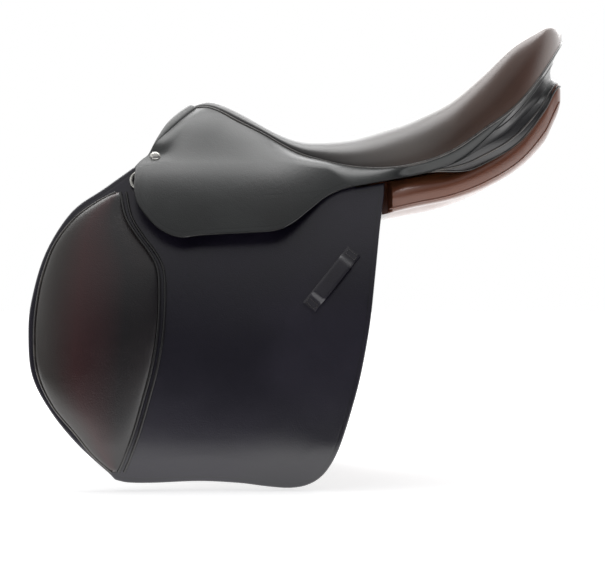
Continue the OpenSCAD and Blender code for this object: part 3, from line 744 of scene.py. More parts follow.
@dataclass(frozen=True)
class Leather(Finish):
    """A leather finish: two tones, gloss, grain and how its colour runs."""

    name: str
    dark: tuple[float, float, float]
    light: tuple[float, float, float]
    worn: tuple[float, float, float] = (70, 62, 58)
    rough: float = 0.4
    swing: float = 0.12
    pores: float = 900
    clouds: float = 9
    creases: float = 55
    bump: float = 0.18
    coat: float = 0.75
    edged: bool = False
    # line sets the painted shade and the depth of the creased line.
    line: float = 0.45
    tint: Tint = Tint.EVEN
    stops: tuple = ()

    def build(self) -> bpy.types.Material:
        """Builds the material.

        Returns:
            The material.
        """
        made, g = self.start()
        hide = g.node("Group", node_tree=EFFECTS.hide)
        for label, value in (("Pores", self.pores), ("Clouds", self.clouds), ("Creases", self.creases)):
            hide.inputs[label].default_value = value
        tone = hide.outputs["Tone"]
        colour = g.mix(tone, paint(*self.dark), paint(*self.light))
        if self.tint is Tint.ALONG:
            where = g.node("SeparateXYZ", {0: g.node("TexCoord").outputs["Object"]})
            shift = g.sum("MULTIPLY", tone, 0.03)
            place = g.sum("ADD", where.outputs[0], shift)
            along = g.ramp(g.node("MapRange", {0: place, 1: -0.14, 2: 0.28}).outputs[0],
                           [(at, paint(*c)) for at, c in self.stops])
            colour = g.mix(g.sum("MULTIPLY", tone, 0.3), along, g.mix(0.5, along, colour))
        if self.tint is Tint.ACROSS:
            uv = g.node("SeparateXYZ", {0: g.node("UVMap").outputs[0]})
            across = g.ramp(uv.outputs[1], [(at, paint(*c)) for at, c in self.stops])
            colour = g.mix(g.sum("MULTIPLY", tone, 0.2), across, colour)
        height = hide.outputs["Height"]
        if self.edged:
            rim = g.node("Group", {"Edge": g.node("Attribute", attribute_name="edge").outputs["Fac"]},
                         node_tree=EFFECTS.rim)
            groove = rim.outputs["Groove"]
            # Painted shade: the creased line is darkened to near-black along its dent.
            colour = g.mix(g.sum("MULTIPLY", groove, self.line), colour, paint(8, 8, 9))
            colour = g.mix(g.sum("MULTIPLY", rim.outputs["Worn"], 0.4), colour, paint(*self.worn))
            height = g.sum("SUBTRACT", height, g.sum("MULTIPLY", groove, 4 * self.line))
        rough = g.sum("ADD", g.sum("MULTIPLY", tone, self.swing), self.rough - self.swing / 2)
        skin = g.node("BsdfPrincipled", {"Base Color": colour, "Roughness": rough, "Coat Weight": self.coat,
                                         "Coat Roughness": 0.28, "Specular IOR Level": 0.5})
        self.close(g, skin, height, self.bump, 0.0006)
        return made


@dataclass(frozen=True)
class Metal(Finish):
    """A bright or dull metal with fine scratches."""

    name: str
    colour: tuple[float, float, float]
    rough: float
    bare: float = 1.0

    def build(self) -> bpy.types.Material:
        """Builds the material.

        Returns:
            The material.
        """
        made, g = self.start()
        where = g.node("TexCoord").outputs["Object"]
        cloud = g.node("TexNoise", {"Vector": where, "Scale": 90.0, "Detail": 4.0}).outputs[0]
        fine = g.node("TexNoise", {"Vector": where, "Scale": 1400.0, "Detail": 2.0}).outputs[0]
        dull = tuple(c * 0.72 for c in self.colour)
        colour = g.mix(g.step(cloud, 0.35, 0.75), paint(*self.colour), paint(*dull))
        rough = g.sum("ADD", g.sum("MULTIPLY", cloud, 0.22), self.rough - 0.08)
        skin = g.node("BsdfPrincipled", {"Base Color": colour, "Roughness": rough, "Metallic": self.bare})
        self.close(g, skin, fine, 0.08, 0.0002)
        return made


@dataclass(frozen=True)
class Timber(Finish):
    """Varnished beech with its grain along the saddle."""

    name: str = "Beech"

    def build(self) -> bpy.types.Material:
        """Builds the material.

        Returns:
            The material.
        """
        made, g = self.start()
        where = g.node("Mapping", {"Vector": g.node("TexCoord").outputs["Object"], "Scale": (4, 60, 60)})
        grain = g.node("TexNoise", {"Vector": where.outputs[0], "Scale": 6.0, "Detail": 6.0,
                                    "Distortion": 0.6}).outputs[0]
        fleck = g.node("TexVoronoi", {"Vector": where.outputs[0], "Scale": 22.0}).outputs["Distance"]
        colour = g.mix(g.step(grain, 0.3, 0.7), paint(176, 134, 88), paint(204, 164, 116))
        colour = g.mix(g.sum("MULTIPLY", g.step(fleck, 0.12, 0.0), 0.4), colour, paint(140, 100, 62))
        skin = g.node("BsdfPrincipled", {"Base Color": colour, "Coat Weight": 0.2,
                                         "Roughness": g.sum("ADD", g.sum("MULTIPLY", grain, 0.2), 0.35)})
        self.close(g, skin, grain, 0.15, 0.0004)
        return made


@dataclass(frozen=True)
class Cloth(Finish):
    """Woven webbing."""

    name: str
    dark: tuple[float, float, float]
    light: tuple[float, float, float]
    pitch: float = 1.2

    def build(self) -> bpy.types.Material:
        """Builds the material.

        Returns:
            The material.
        """
        made, g = self.start()
        where = g.node("TexCoord").outputs["Object"]
        turns = 1000 / self.pitch / 20
        warp = g.node("TexWave", {"Vector": where, "Scale": turns}, bands_direction="X").outputs["Fac"]
        weft = g.node("TexWave", {"Vector": where, "Scale": turns}, bands_direction="Z").outputs["Fac"]
        weave = g.sum("MULTIPLY", warp, weft)
        soil = g.node("TexNoise", {"Vector": where, "Scale": 25.0, "Detail": 4.0}).outputs[0]
        colour = g.mix(weave, paint(*self.dark), paint(*self.light))
        colour = g.mix(g.sum("MULTIPLY", g.step(soil, 0.5, 0.8), 0.4), colour, paint(*self.dark))
        skin = g.node("BsdfPrincipled", {"Base Color": colour, "Sheen Weight": 0.2,
                                         "Roughness": g.sum("ADD", g.sum("MULTIPLY", soil, 0.1), 0.8)})
        self.close(g, skin, weave, 0.5, 0.0005)
        return made


FLAP_HIDE = Leather("FlapLeather", (22, 18, 33), (31, 26, 43), (54, 50, 58), rough=0.36, edged=True)
SKIRT_HIDE = Leather("SkirtLeather", (34, 36, 35), (43, 46, 45), (52, 51, 50), rough=0.44, edged=True,
                     clouds=14, line=0.12, coat=0.45)
BAND_HIDE = Leather("BandLeather", (34, 36, 35), (43, 46, 45), rough=0.44, clouds=14, coat=0.45)
BLACK_HIDE = Leather("BlackLeather", (18, 17, 18), (26, 25, 26), rough=0.4)
UNDER_HIDE = Leather("UnderLeather", (28, 24, 23), (40, 34, 31), (80, 64, 52), rough=0.5, edged=True,
                     creases=30)
STRAP_HIDE = Leather("StrapLeather", (34, 26, 22), (50, 38, 31), rough=0.48, creases=80)
WELT_HIDE = Leather("WeltLeather", (30, 29, 29), (44, 42, 41), rough=0.32, pores=1400)
# Pale welt colour: a painted highlight along the top of round piping.
PAINTED_HIGHLIGHT_WELT = Leather("WeltPaintedHighlight", (62, 59, 56), (98, 92, 86), rough=0.3, pores=1400, clouds=60)
# Across the pad: olive-grey stops along the front edge are a painted sheen; maroon across the middle,
# near-black towards the rear edge and underneath.
PAD_HIDE = Leather("PadLeather", (34, 22, 24), (52, 33, 34), rough=0.34, clouds=16, bump=0.25, tint=Tint.ACROSS,
                   stops=((0.0, (44, 43, 36)), (0.07, (52, 42, 37)), (0.17, (74, 40, 40)), (0.27, (58, 33, 34)),
                          (0.36, (26, 23, 24)), (1.0, (24, 22, 22))))
# Near-black first stops: painted shade on the panel's front part, which lies under the skirt's tail.
PANEL_HIDE_SHADED_FRONT = Leather("PanelLeather", (128, 72, 48), (156, 96, 68), rough=0.36, clouds=18, bump=0.22,
                     tint=Tint.ALONG, stops=((0.0, (36, 27, 25)), (0.485, (36, 27, 25)), (0.545, (142, 84, 58)),
                                             (1.0, (142, 84, 58))))
SEAT_HIDE = Leather("SeatLeather", (60, 50, 44), (84, 68, 56), rough=0.36, clouds=12, coat=1.0, tint=Tint.ALONG,
                    stops=((0.0, (24, 24, 25)), (0.24, (30, 30, 30)), (0.42, (52, 47, 43)),
                           (0.62, (74, 61, 52)), (0.8, (102, 74, 60)), (1.0, (126, 84, 66))))
KEEPER_HIDE = Leather("KeeperLeather", (34, 31, 40), (46, 43, 52), rough=0.42)
ROLL_HIDE = Leather("RollLeather", (40, 30, 27), (58, 43, 37), rough=0.46)
THREAD = Leather("Thread", (46, 42, 40), (64, 58, 54), rough=0.6, pores=2600, creases=300)
STEEL = Metal("Steel", (176, 176, 174), 0.32)
# Bright steel at only 0.55 metallic: its near-white diffuse body is a painted reflection of the white studio.
BRIGHT = Metal("BrightSteel", (240, 238, 230), 0.2, 0.55)
WEB = Cloth("Webbing", (178, 172, 158), (226, 221, 208))


class Maker:
    """Common steps of every sub-assembly: dress a piece, let it ride and say so."""

    def done(self, piece: bpy.types.Object, finish: Finish, body: str, slot: str,
             stands_for: Sequence[str] = ()) -> bpy.types.Object:
        """Gives a piece its finish and the body that it moves with.

        Args:
            piece: The piece.
            finish: Its finish.
            body: The body that carries it, or nothing where it is left unattached.
            slot: Name of a material slot; not used.
            stands_for: Nodes that it replaces.

        Returns:
            The piece.
        """
        piece.data.materials.clear()
        piece.data.materials.append(finish.material())
        if body:
            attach(piece, body)
        if stands_for:
            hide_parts(*stands_for)
        LOG.info("%s: %d faces", piece.name, len(piece.data.polygons))
        return piece


@dataclass
class Seat(Maker):
    """The padded seat, its welt and the facing behind the cantle."""

    rise: float = 0.9
    inset: float = 0.985
    welt: float = 1.3
    piping: float = 0.9
    piping_at: float = 0.4
    facing_first: float = 0.59
    facing_t: float = 2.6
    facing_drop: Rows = ((0.6, 10.2), (0.68, 15.5), (0.76, 20), (0.84, 26), (0.91, 33), (0.96, 38), (1, 41))
    facing_form: Rows = ((0, 0), (0.4, 0.65), (0.7, 1), (1, 0.7))

    def build(self) -> None:
        """Builds the seat and what is sewn round it."""
        self.cushion()
        self.edge_welt()
        self.facing()

    def cushion(self) -> None:
        """The crowned seat, closed underneath."""
        def top(u: float, v: float) -> Spot:
            """Leather of the seat.

            Args:
                u: Share along the seat.
                v: Share across it.

            Returns:
                The point.
            """
            t, across = self.along(u), 2 * v - 1
            x, y, z = FORM.seat_top(t, across)
            return x, y, max(FORM.edge_z(t), z - FORM.nose(t) * (1 - across ** 2))

        def under(u: float, v: float) -> Spot:
            """Underside, level with the seam."""
            t = self.along(u)
            return FORM.seat_x(t), FORM.seat_half(t) * (2 * v - 1) * self.inset, FORM.edge_z(t) + self.rise

        seat = shell("seat", 150, 72, Side.RIGHT, top, under)
        self.done(seat, SEAT_HIDE, "core", "seat_leather", ("seat_cover", "seat_foam", "seat_canvas"))

    @staticmethod
    def along(u: float) -> float:
        """Share of the seat's length, crowded towards the cantle."""
        return u * (1.2 + 0.52 * u - 0.72 * u * u)

    def edge_welt(self) -> None:
        """Welt sewn into the seam round the seat."""
        shares = [self.along(i / 110) for i in range(111)]
        half = [FORM.seam(t) for t in shares]
        loop = [Side.RIGHT.at(p) for p in half] + [Side.LEFT.at(p) for p in reversed(half)]
        # The seat's welt takes the pale welt colour, a painted highlight.
        self.done(tube("seat_welt", loop, self.welt), PAINTED_HIGHLIGHT_WELT, "core", "black_leather")

    def facing_point(self, t: float, share: float, depth: float) -> Spot:
        """A point of the cantle facing.

        Args:
            t: Share of the seat's length.
            share: Share of the facing's height, from its top.
            depth: Depth under its face.

        Returns:
            The point.
        """
        run = FORM.plan_run(t)
        lean = smooth((t - 0.74) / 0.16) * 9
        sunk = smooth((t - self.facing_first) / 0.08)
        d = depth + lerp(3.0 + 2 * share, 1.5 * (1 + share), sunk) + curve(self.facing_form, share) * lean
        top = FORM.edge_z(FORM.seat_t(FORM.seat_x(t) + run[1] * (depth + 1.5))) - 0.9
        return (FORM.seat_x(t) + run[1] * d, FORM.seat_half(t) - run[0] * d,
                top - share * curve(self.facing_drop, t))

    def facing(self) -> None:
        """Leather facing round the back of the cantle with its piped lines."""
        def at(u: float) -> tuple[float, float]:
            """Share of the seat and side from the share round the cantle."""
            s = 1 - abs(2 * u - 1)
            return lerp(self.facing_first, 1, s ** 0.8), 1.0 if u < 0.5 else -1.0

        def face(depth: float) -> Face:
            """Surface of the facing at a depth."""
            def point(u: float, v: float) -> Spot:
                """A point round the cantle."""
                t, side = at(u)
                p = self.facing_point(t, v, depth)
                return p[0], side * p[1], p[2]
            return point

        piece = shell("cantle_facing_leather", 121, 14, Side.RIGHT, face(0), face(self.facing_t))
        self.done(piece, BLACK_HIDE, "core", "black_leather", ("cantle_facing",))
        line = [Side.RIGHT.at(face(0.2)(i / 120, self.piping_at)) for i in range(121)]
        self.done(tube("cantle_piping_1", line, self.piping), WELT_HIDE, "core", "black_leather")


@dataclass
class Skirts(Maker):
    """Leather from the seat's seam over the hinge to the skirt's edge, with the tail behind it."""

    roll: float = 4.0
    fall: float = 1.25
    low: Flat = (159, -25.4)
    low_fall: float = 0.42
    thick: float = 3.2
    skin: float = 1.2
    lean: float = 54
    nail_lean: float = 56
    nail_share: Flat = (0.034, 0.9)
    nail_d: float = 11
    roll_w: float = 5.6
    roll_h: float = 4.0
    front: float = -183.4
    lean_share: float = 0.3
    rear: Flat = (-50, 72)
    rear_out: float = 5.5
    rear_fall: Flat = (0.9, 0.44)
    dee_room: Spot = (2.8, -164, 14)
    front_joint: Spot = (45.5, -178, 22)
    rear_joint: Spot = (9.5, -62, 80)
    tail_low: float = 24.4
    tail_rise: float = 0.18
    tail_in: float = 3
    tail_lead: float = 16
    tail_fall: float = 0.45
    taper: Spot = (0.96, 0.6, 0.26)
    last: float = 0.86
    sink: float = 13
    band_bend: float = 7
    skirt_bend: Flat = (17, 34)
    edge: Rows = ((0.287, 0.96), (0.2885, 0.91), (0.308, 0.858), (0.36, 0.795), (0.42, 0.767), (0.48, 0.773),
                  (0.61, 0.781), (0.69, 0.788), (0.738, 0.812), (0.79, 0.858), (0.83, 0.894), (0.872, 0.917))

    @property
    def crest(self) -> Flat:
        """Half width and height of the line where skirt and band meet."""
        n = math.hypot(1, self.fall)
        return FORM.hinge_half + self.roll / n, FORM.hinge_h + self.roll * self.fall / n

    def skirt_half(self, x: float, z: float) -> float:
        """Half width of the skirt's outer face, which stands off the dee in front.

        Args:
            x: Place along the saddle.
            z: Height.

        Returns:
            The half width.
        """
        y0, z0 = self.crest
        rear = smooth((x - self.rear[0]) / self.rear[1])
        low = lerp(self.low[1], 0, rear)
        wide = lerp(self.low[0], FORM.half_at(0) + self.rear_out, rear)
        run = z0 - low
        top = lerp(self.fall, self.rear_fall[0], rear) * run
        foot = lerp(self.low_fall, self.rear_fall[1], rear) * run
        u = (z0 - z) / run
        stand = self.dee_room[0] * smooth((self.dee_room[1] - x) / self.dee_room[2])
        if u > 1:
            return wide + foot * (u - 1) + stand
        return bridge((y0, 0), (wide, 0), (top, 0), (foot, 0), max(0.0, u))[0] + stand

    def joint_z(self, x: float) -> float:
        """Height of the line where the skirt meets the band, lower at both ends.

        Args:
            x: Place along the saddle.

        Returns:
            The height.
        """
        (low, first, run), (drop, start, length) = self.front_joint, self.rear_joint
        return lerp(low, self.crest[1], smooth((x - first) / run)) - drop * smooth((x - start) / length)

    def foot(self, t: float) -> Spot:
        """Lower edge of the band: the joint with the skirt, then the tail.

        Args:
            t: Share of the seat's length.

        Returns:
            The point.
        """
        x = FORM.seat_x(t) - self.lean * (1 - smooth(t / self.lean_share))
        far = x - FORM.tail_front
        drop = smooth((far + self.tail_lead) / (FORM.tail_run + self.tail_lead))
        z = lerp(self.joint_z(x), FORM.hinge_h - self.tail_low + self.tail_rise * max(0.0, far), drop)
        wide = FORM.seat_half(FORM.seat_t(max(x, FORM.tail_front))) - self.tail_in
        y = lerp(self.skirt_half(x, z), max(wide, self.skirt_half(x, z)), drop)
        seam, taper = FORM.seam(t), self.taper[0] * smooth((t - self.taper[1]) / self.taper[2])
        return x, lerp(y, seam[1], taper), lerp(z, seam[2], taper)

    def __post_init__(self) -> None:
        """Keeps the nail's seat."""
        self.nail_seat = self.nail()

    def nail(self) -> tuple[np.ndarray, np.ndarray]:
        """Finds the seat of the saddle nail on the off side.

        Returns:
            The seat and the direction in which the nail stands.
        """
        t, v = self.nail_share
        a = np.array(FORM.seam(t))
        x = FORM.seat_x(t) - self.nail_lean * (1 - smooth(t / self.lean_share))
        d = np.array((x, FORM.hinge_half - 3.45, FORM.hinge_h + 0.8)) - a
        n = np.array((0, -d[2], d[1])) / math.hypot(d[1], d[2])
        size = min(1.0, float(np.linalg.norm(d)) / 60)
        return a + v * d + n * (5 * 4 * v * (1 - v) * size), n

    def band_point(self, t: float, v: float) -> Spot:
        """A point of the band's outer face, drawn in under the nail.

        Args:
            t: Share of the seat's length.
            v: Share from the seam to the lower edge.

        Returns:
            The point.
        """
        a, b = FORM.seam(t), self.foot(t)
        y, z = b[1] - a[1], b[2] - a[2]
        size = math.hypot(y, z)
        drop = min(1.0, max(0.0, (b[0] - FORM.tail_front) / FORM.tail_run - 1))
        slope = self.skirt_half(b[0], b[2] - 1) - self.skirt_half(b[0], b[2])
        fall = lerp(slope, self.tail_fall, drop)
        out = lerp(0.22, 0.62, smooth((b[0] + 30) / 60)) * size * smooth(-1.8 * z / size)
        run_a = (y - z / size * out, z + y / size * out)
        run_b = (size * fall / math.hypot(1, fall), -size / math.hypot(1, fall))
        p = bridge(a[1:], b[1:], run_a, run_b, v)
        point = np.array((lerp(a[0], b[0], v), p[0], p[1]))
        seat, n = self.nail_seat
        off = point - seat
        high = float(off @ n)
        beside = float(np.linalg.norm(off - high * n))
        point = point - n * high * math.exp(-(beside / self.sink) ** 2)
        return tuple(point)

    def build(self) -> None:
        """Builds both sides."""
        for side in Side:
            self.band(side)
            self.skirt(side)
            self.nail_head(side)
        self.pommel_roll()

    def band(self, side: Side) -> None:
        """Band from the seam to the hinge, with its tail.

        Args:
            side: Side of the saddle.
        """
        def outer(u: float, v: float) -> Spot:
            """Outer face."""
            return self.band_point(u * self.last, v)

        def inner(u: float, v: float) -> Spot:
            """Inner face, along the outer one's normal.

            Args:
                u: Share along the band.
                v: Share from the seam to the lower edge.

            Returns:
                The point.
            """
            t, e, f = u * self.last, 0.004, 0.01
            p, ahead, behind, under, over = (np.array(self.band_point(*at)) for at in (
                (t, v), (min(1, t + e), v), (max(0, t - e), v), (t, min(1, v + f)), (t, max(0, v - f))))
            n = np.cross(ahead - behind, under - over)
            n = n / np.linalg.norm(n)
            n = n if n[1] > 0 else -n
            return tuple(p - n * self.skin)

        piece = shell("band_" + side.word, 170, 40, side, outer, inner)
        self.done(piece, BAND_HIDE, "", "black_leather", ("skirt_band_" + side.word,))
        y, z = self.crest
        w = math.hypot(1, self.fall)
        up = side.at((0, y - self.band_bend * self.fall / w, z + self.band_bend / w))
        tuple(up)
        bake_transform(piece)

    def nail_head(self, side: Side) -> None:
        """Domed nail, turned a little towards the side.

        Args:
            side: Side of the saddle.
        """
        seat, n = self.nail_seat
        way = Vector((n[0], side.value * (n[1] + 0.5), n[2])).normalized()
        clear_selection()
        bpy.ops.mesh.primitive_uv_sphere_add(segments=32, ring_count=16, radius=self.nail_d / 2 * MM)
        piece = bpy.context.object
        piece.name = piece.data.name = "nail_" + side.word
        for vertex in piece.data.vertices:
            vertex.co.z *= 0.62 if vertex.co.z > 0 else 0.35
        turn = Vector((0, 0, 1)).rotation_difference(way).to_matrix().to_4x4()
        turn.translation = side.at(tuple(seat)) + way * 0.6 * MM
        piece.data.transform(turn)
        smooth_faces(piece, 80)
        self.done(piece, BRIGHT, "core", "bright_steel", ("saddle_nail_" + side.word,))

    def pommel_roll(self) -> None:
        """Rounded binding over the pommel and down its front edges."""
        half = [self.band_point(0, v) for v in np.linspace(0.8, 0, 40)]
        over = [(x, y, z - FORM.nose(0) - 4.4)
                for x, y, z in (FORM.seat_top(0, a) for a in np.linspace(1, 0, 12))]
        line = [np.array(p) for p in half + over[1:]]
        line = line + [p * (1, -1, 1) for p in reversed(line[:-1])]
        run = len(line) - 1

        def place(u: float, v: float) -> Vector:
            """A point of the binding, which is thinner towards its ends.

            Args:
                u: Share along it.
                v: Share round it.

            Returns:
                The point in metres.
            """
            i = round(u * run)
            way = line[min(run, i + 1)] - line[max(0, i - 1)]
            way = way / np.linalg.norm(way)
            ahead = np.array((-1.0, 0, 0)) - way * -way[0]
            ahead = ahead / np.linalg.norm(ahead)
            out = np.cross(ahead, way)
            out = out if out[2] > 0 else -out
            thin = 0.12 + 0.88 * smooth(min(u, 1 - u) / 0.25)
            a = 2 * math.pi * (v % 1.0)
            p = line[i] + ahead * (2.2 * thin + self.roll_w * thin * math.cos(a))
            p = p + out * (-1.4 * (1 - smooth(min(u, 1 - u) / 0.4)) + self.roll_h * thin * math.sin(a))
            return Vector(p * MM)

        self.done(net("pommel_roll", run, 18, place), BAND_HIDE, "core", "black_leather")

    def outline(self) -> Outline:
        """Draws the skirt's outline in the side view.

        Returns:
            The outline, whose upper line is joined to the band.
        """
        feet = [self.foot(t) for t in np.linspace(0.46, 0, 500)]
        top = [(x, z) for x, _, z in feet if self.front < x < FORM.tail_front + FORM.tail_run]
        lower = path([top[-1]] + [FORM.on_flap(p) for p in self.edge] + [top[0]], 5)
        return Outline(tuple(lower + top[1:-1]), (-85, 12), len(lower))

    def skirt(self, side: Side) -> None:
        """Skirt below the hinge, thinned where it bends over the roll.

        Args:
            side: Side of the saddle.
        """
        def outer(x: float, z: float) -> Spot:
            """Outer face."""
            return x, self.skirt_half(x, z), z

        def inner(x: float, z: float) -> Spot:
            """Inner face.

            Args:
                x: Place along the saddle.
                z: Height.

            Returns:
                The point.
            """
            t = lerp(self.thick, 1.0, smooth((z - 22) / 26))
            slope = (self.skirt_half(x, z - 1) - self.skirt_half(x, z + 1)) / 2
            n = math.hypot(1, slope)
            return x, self.skirt_half(x, z) - t / n, z - t * slope / n * 0.6

        piece = leaf("skirt_" + side.word + "_leather", self.outline(), side, outer, inner)
        self.done(piece, SKIRT_HIDE, "", "black_leather", ("skirt_" + side.word,))
        y, z = self.crest
        w = math.hypot(1, self.fall)
        ends = [tuple(side.at((0, y + s * self.fall / w, z - s / w))) for s in self.skirt_bend]
        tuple(ends[0])
        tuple(ends[1])
        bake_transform(piece)


@dataclass
class Flaps(Maker):
    """Flaps with their padded knee inserts and stirrup leather keepers."""

    half_t: float = 2.5
    curl: float = 11.0
    curl_run: float = 46
    ripples: Rows = ((0.8, 47, 90), (0.5, 31, -58))
    pad_h: float = 12
    pad_span: Flat = (0.91, 0.05)
    top: Sequence[Flat] = ((FORM.flap_rear, 29.5), (36, 25), (FORM.tail_front - 2, 37), (-28, 42), (-45, 46.6))
    middle: Flat = (-110, -120)
    keeper_mid: Flat = (0.847, 0.638)
    keeper_turn: float = 39
    keeper_w: float = 15
    keeper_len: float = 70
    notch: tuple[float, float, float] = (-128, -28, -9)
    edge: Rows = ((0.29, 1), (0.2, 0.925), (0.11, 0.85), (0.04, 0.72), (0.005, 0.57), (0, 0.46), (0.014, 0.34),
                  (0.066, 0.235), (0.14, 0.137), (0.23, 0.045))
    low_edge: Rows = ((0.245, 0.026), (0.28, 0.017), (0.35, 0.016), (0.48, 0.022), (0.59, 0.016), (0.66, 0.006),
                      (0.725, 0), (0.775, 0.008), (0.815, 0.033), (0.845, 0.075), (0.873, 0.14), (0.907, 0.257),
                      (0.93, 0.356), (0.954, 0.5), (0.97, 0.65), (0.985, 0.8), (0.998, 0.9))
    pad_front: Rows = ((0.05, 0.238), (0.1, 0.188), (0.17, 0.136), (0.25, 0.074), (0.35, 0.03), (0.47, 0.018),
                       (0.58, 0.024), (0.66, 0.038), (0.75, 0.068), (0.83, 0.122), (0.88, 0.182), (0.91, 0.232))
    pad_rear: Rows = ((0.05, 0.256), (0.09, 0.272), (0.17, 0.298), (0.27, 0.324), (0.37, 0.347), (0.47, 0.361),
                      (0.59, 0.365), (0.67, 0.358), (0.72, 0.335), (0.77, 0.3), (0.83, 0.265), (0.91, 0.246))

    def point(self, x: float, z: float, n: float) -> Spot:
        """A point of a layer of the flap, which curls in along its lower edge.

        Args:
            x: Place along the saddle.
            z: Height.
            n: How far outside the flap's middle the layer lies.

        Returns:
            The point.
        """
        low = max(0.0, (FORM.flap_low + self.curl_run - z) / self.curl_run)
        wave = sum(high * math.sin(x / a + z / b) for high, a, b in self.ripples)
        calm = smooth((20 - z) / 60)
        m = n - self.curl * low * low + wave * calm
        return x, FORM.half_at(z) + m * math.cos(FORM.lean(z)), z

    def build(self) -> None:
        """Builds both sides."""
        for side in Side:
            self.flap(side)
            self.knee_pad(side)
            self.keeper(side)

    def flap(self, side: Side) -> None:
        """The flap, cut out round the stirrup bar.

        Args:
            side: Side of the saddle.
        """
        line = [p for edge in (self.edge, self.low_edge) for p in path([FORM.on_flap(q) for q in edge], 6)]
        line[0] = (line[0][0], self.top[-1][1])

        def face(n: float) -> Face:
            """Surface of the flap n outside its middle."""
            return lambda x, z: self.point(x, z, n)

        outline = Outline((*line, *self.top), self.middle)
        piece = leaf("flap_" + side.word + "_leather", outline, side, face(self.half_t), face(-self.half_t),
                     count=420)
        clear_selection()
        size = ((self.notch[1] - self.notch[0]) * MM, 0.2, 0.2)
        middle = side.at(((self.notch[0] + self.notch[1]) / 2, 105, self.notch[2] + 100))
        bpy.ops.mesh.primitive_cube_add(size=1, location=middle)
        cutter = bpy.context.object
        cutter.scale = size
        bpy.ops.object.transform_apply(location=True, rotation=True, scale=True)
        finish_with(piece, "BOOLEAN", object=cutter, operation="DIFFERENCE", solver="EXACT")
        bpy.data.objects.remove(cutter)
        smooth_faces(piece)
        self.done(piece, FLAP_HIDE, "flap_" + side.word, "black_leather", ("flap_" + side.word,))

    def pad_place(self, s: float, v: float) -> Flat:
        """Place and height of the knee insert at shares across and down it."""
        share = lerp(*self.pad_span, v)
        return FORM.on_flap((lerp(curve(self.pad_front, share), curve(self.pad_rear, share), s), share))

    def knee_pad(self, side: Side) -> None:
        """Padded insert with a piped front and a double welt along its rear edge.

        Args:
            side: Side of the saddle.
        """
        lift = self.half_t + 0.3

        def outer(u: float, v: float) -> Spot:
            """Crowned face.

            Args:
                u: Share down the insert.
                v: Share across it.

            Returns:
                The point.
            """
            x, z = self.pad_place(v, u)
            swell = (4 * v * (1 - v)) ** 0.5 * (4 * u * (1 - u)) ** 0.45
            return self.point(x, z, lift + 1 + self.pad_h * swell)

        def inner(u: float, v: float) -> Spot:
            """Underside on the flap."""
            x, z = self.pad_place(v, u)
            return self.point(x, z, lift)

        pad = shell("knee_pad_" + side.word + "_leather", 96, 48, side, outer, inner)
        self.done(pad, PAD_HIDE, "flap_" + side.word, "brown_leather", ("knee_pad_" + side.word,))
        shares = [i / 90 for i in range(91)]
        lines = {"front": (0.0, 0.0, 1.2), "rear": (1.0, 0.0, 1.5), "outer": (1.0, 5.5, 1.3)}
        for word, (s, off, radius) in lines.items():
            row = []
            for v in shares:
                x, z = self.pad_place(s, v)
                high = self.half_t + radius * 0.8 + (0 if off else 1.2)
                row.append(side.at(self.point(x + off, z, high)))
            piece = tube("pad_welt_" + word + "_" + side.word, row, radius)
            # The front welt takes the pale welt colour, a painted highlight.
            finish = PAINTED_HIGHLIGHT_WELT if word == "front" else WELT_HIDE
            self.done(piece, finish, "flap_" + side.word, "black_leather")

    def keeper(self, side: Side) -> None:
        """Stirrup leather keeper, arched between its stitched ends.

        Args:
            side: Side of the saddle.
        """
        mid = FORM.on_flap(self.keeper_mid)
        turn = math.radians(self.keeper_turn)
        half, wide = self.keeper_len / 2, self.keeper_w / 2

        def at(a: float, b: float, n: float) -> Spot:
            """A point a along the keeper and b across it."""
            x = mid[0] + a * math.sin(turn) + b * math.cos(turn)
            return self.point(x, mid[1] + a * math.cos(turn) - b * math.sin(turn), n)

        def face(depth: float) -> Face:
            """Surface at a depth under the keeper's face."""
            def point(u: float, v: float) -> Spot:
                """A point of it.

                Args:
                    u: Share along the keeper.
                    v: Share across it.

                Returns:
                    The point.
                """
                a, b = (2 * u - 1) * half, (2 * v - 1) * wide
                hump = 3.0 * smooth((half - 9 - abs(a)) / 7)
                round_off = 0.5 * max(0.0, abs(2 * v - 1) - 0.8) / 0.2 if depth == 0 else 0
                return at(a, b, self.half_t + 0.3 + hump + 2.5 - depth - round_off)
            return point

        piece = shell("keeper_" + side.word + "_leather", 70, 16, side, face(0), face(2.4))
        body = "flap_" + side.word
        self.done(piece, KEEPER_HIDE, body, "black_leather", ("leather_keeper_" + side.word,))
        lines = []
        for end in (-1, 1):
            for a in (28, 33):
                lines.append([side.at(at(end * a, b, self.half_t + 2.95)) for b in (-5.5, 0, 5.5)])
            for b in (-5.5, 5.5):
                lines.append([side.at(at(end * a, b, self.half_t + 2.95)) for a in (28, 33)])
        self.done(sew("keeper_stitches_" + side.word, lines, 2.2, 0.4), THREAD, body, "black_leather")


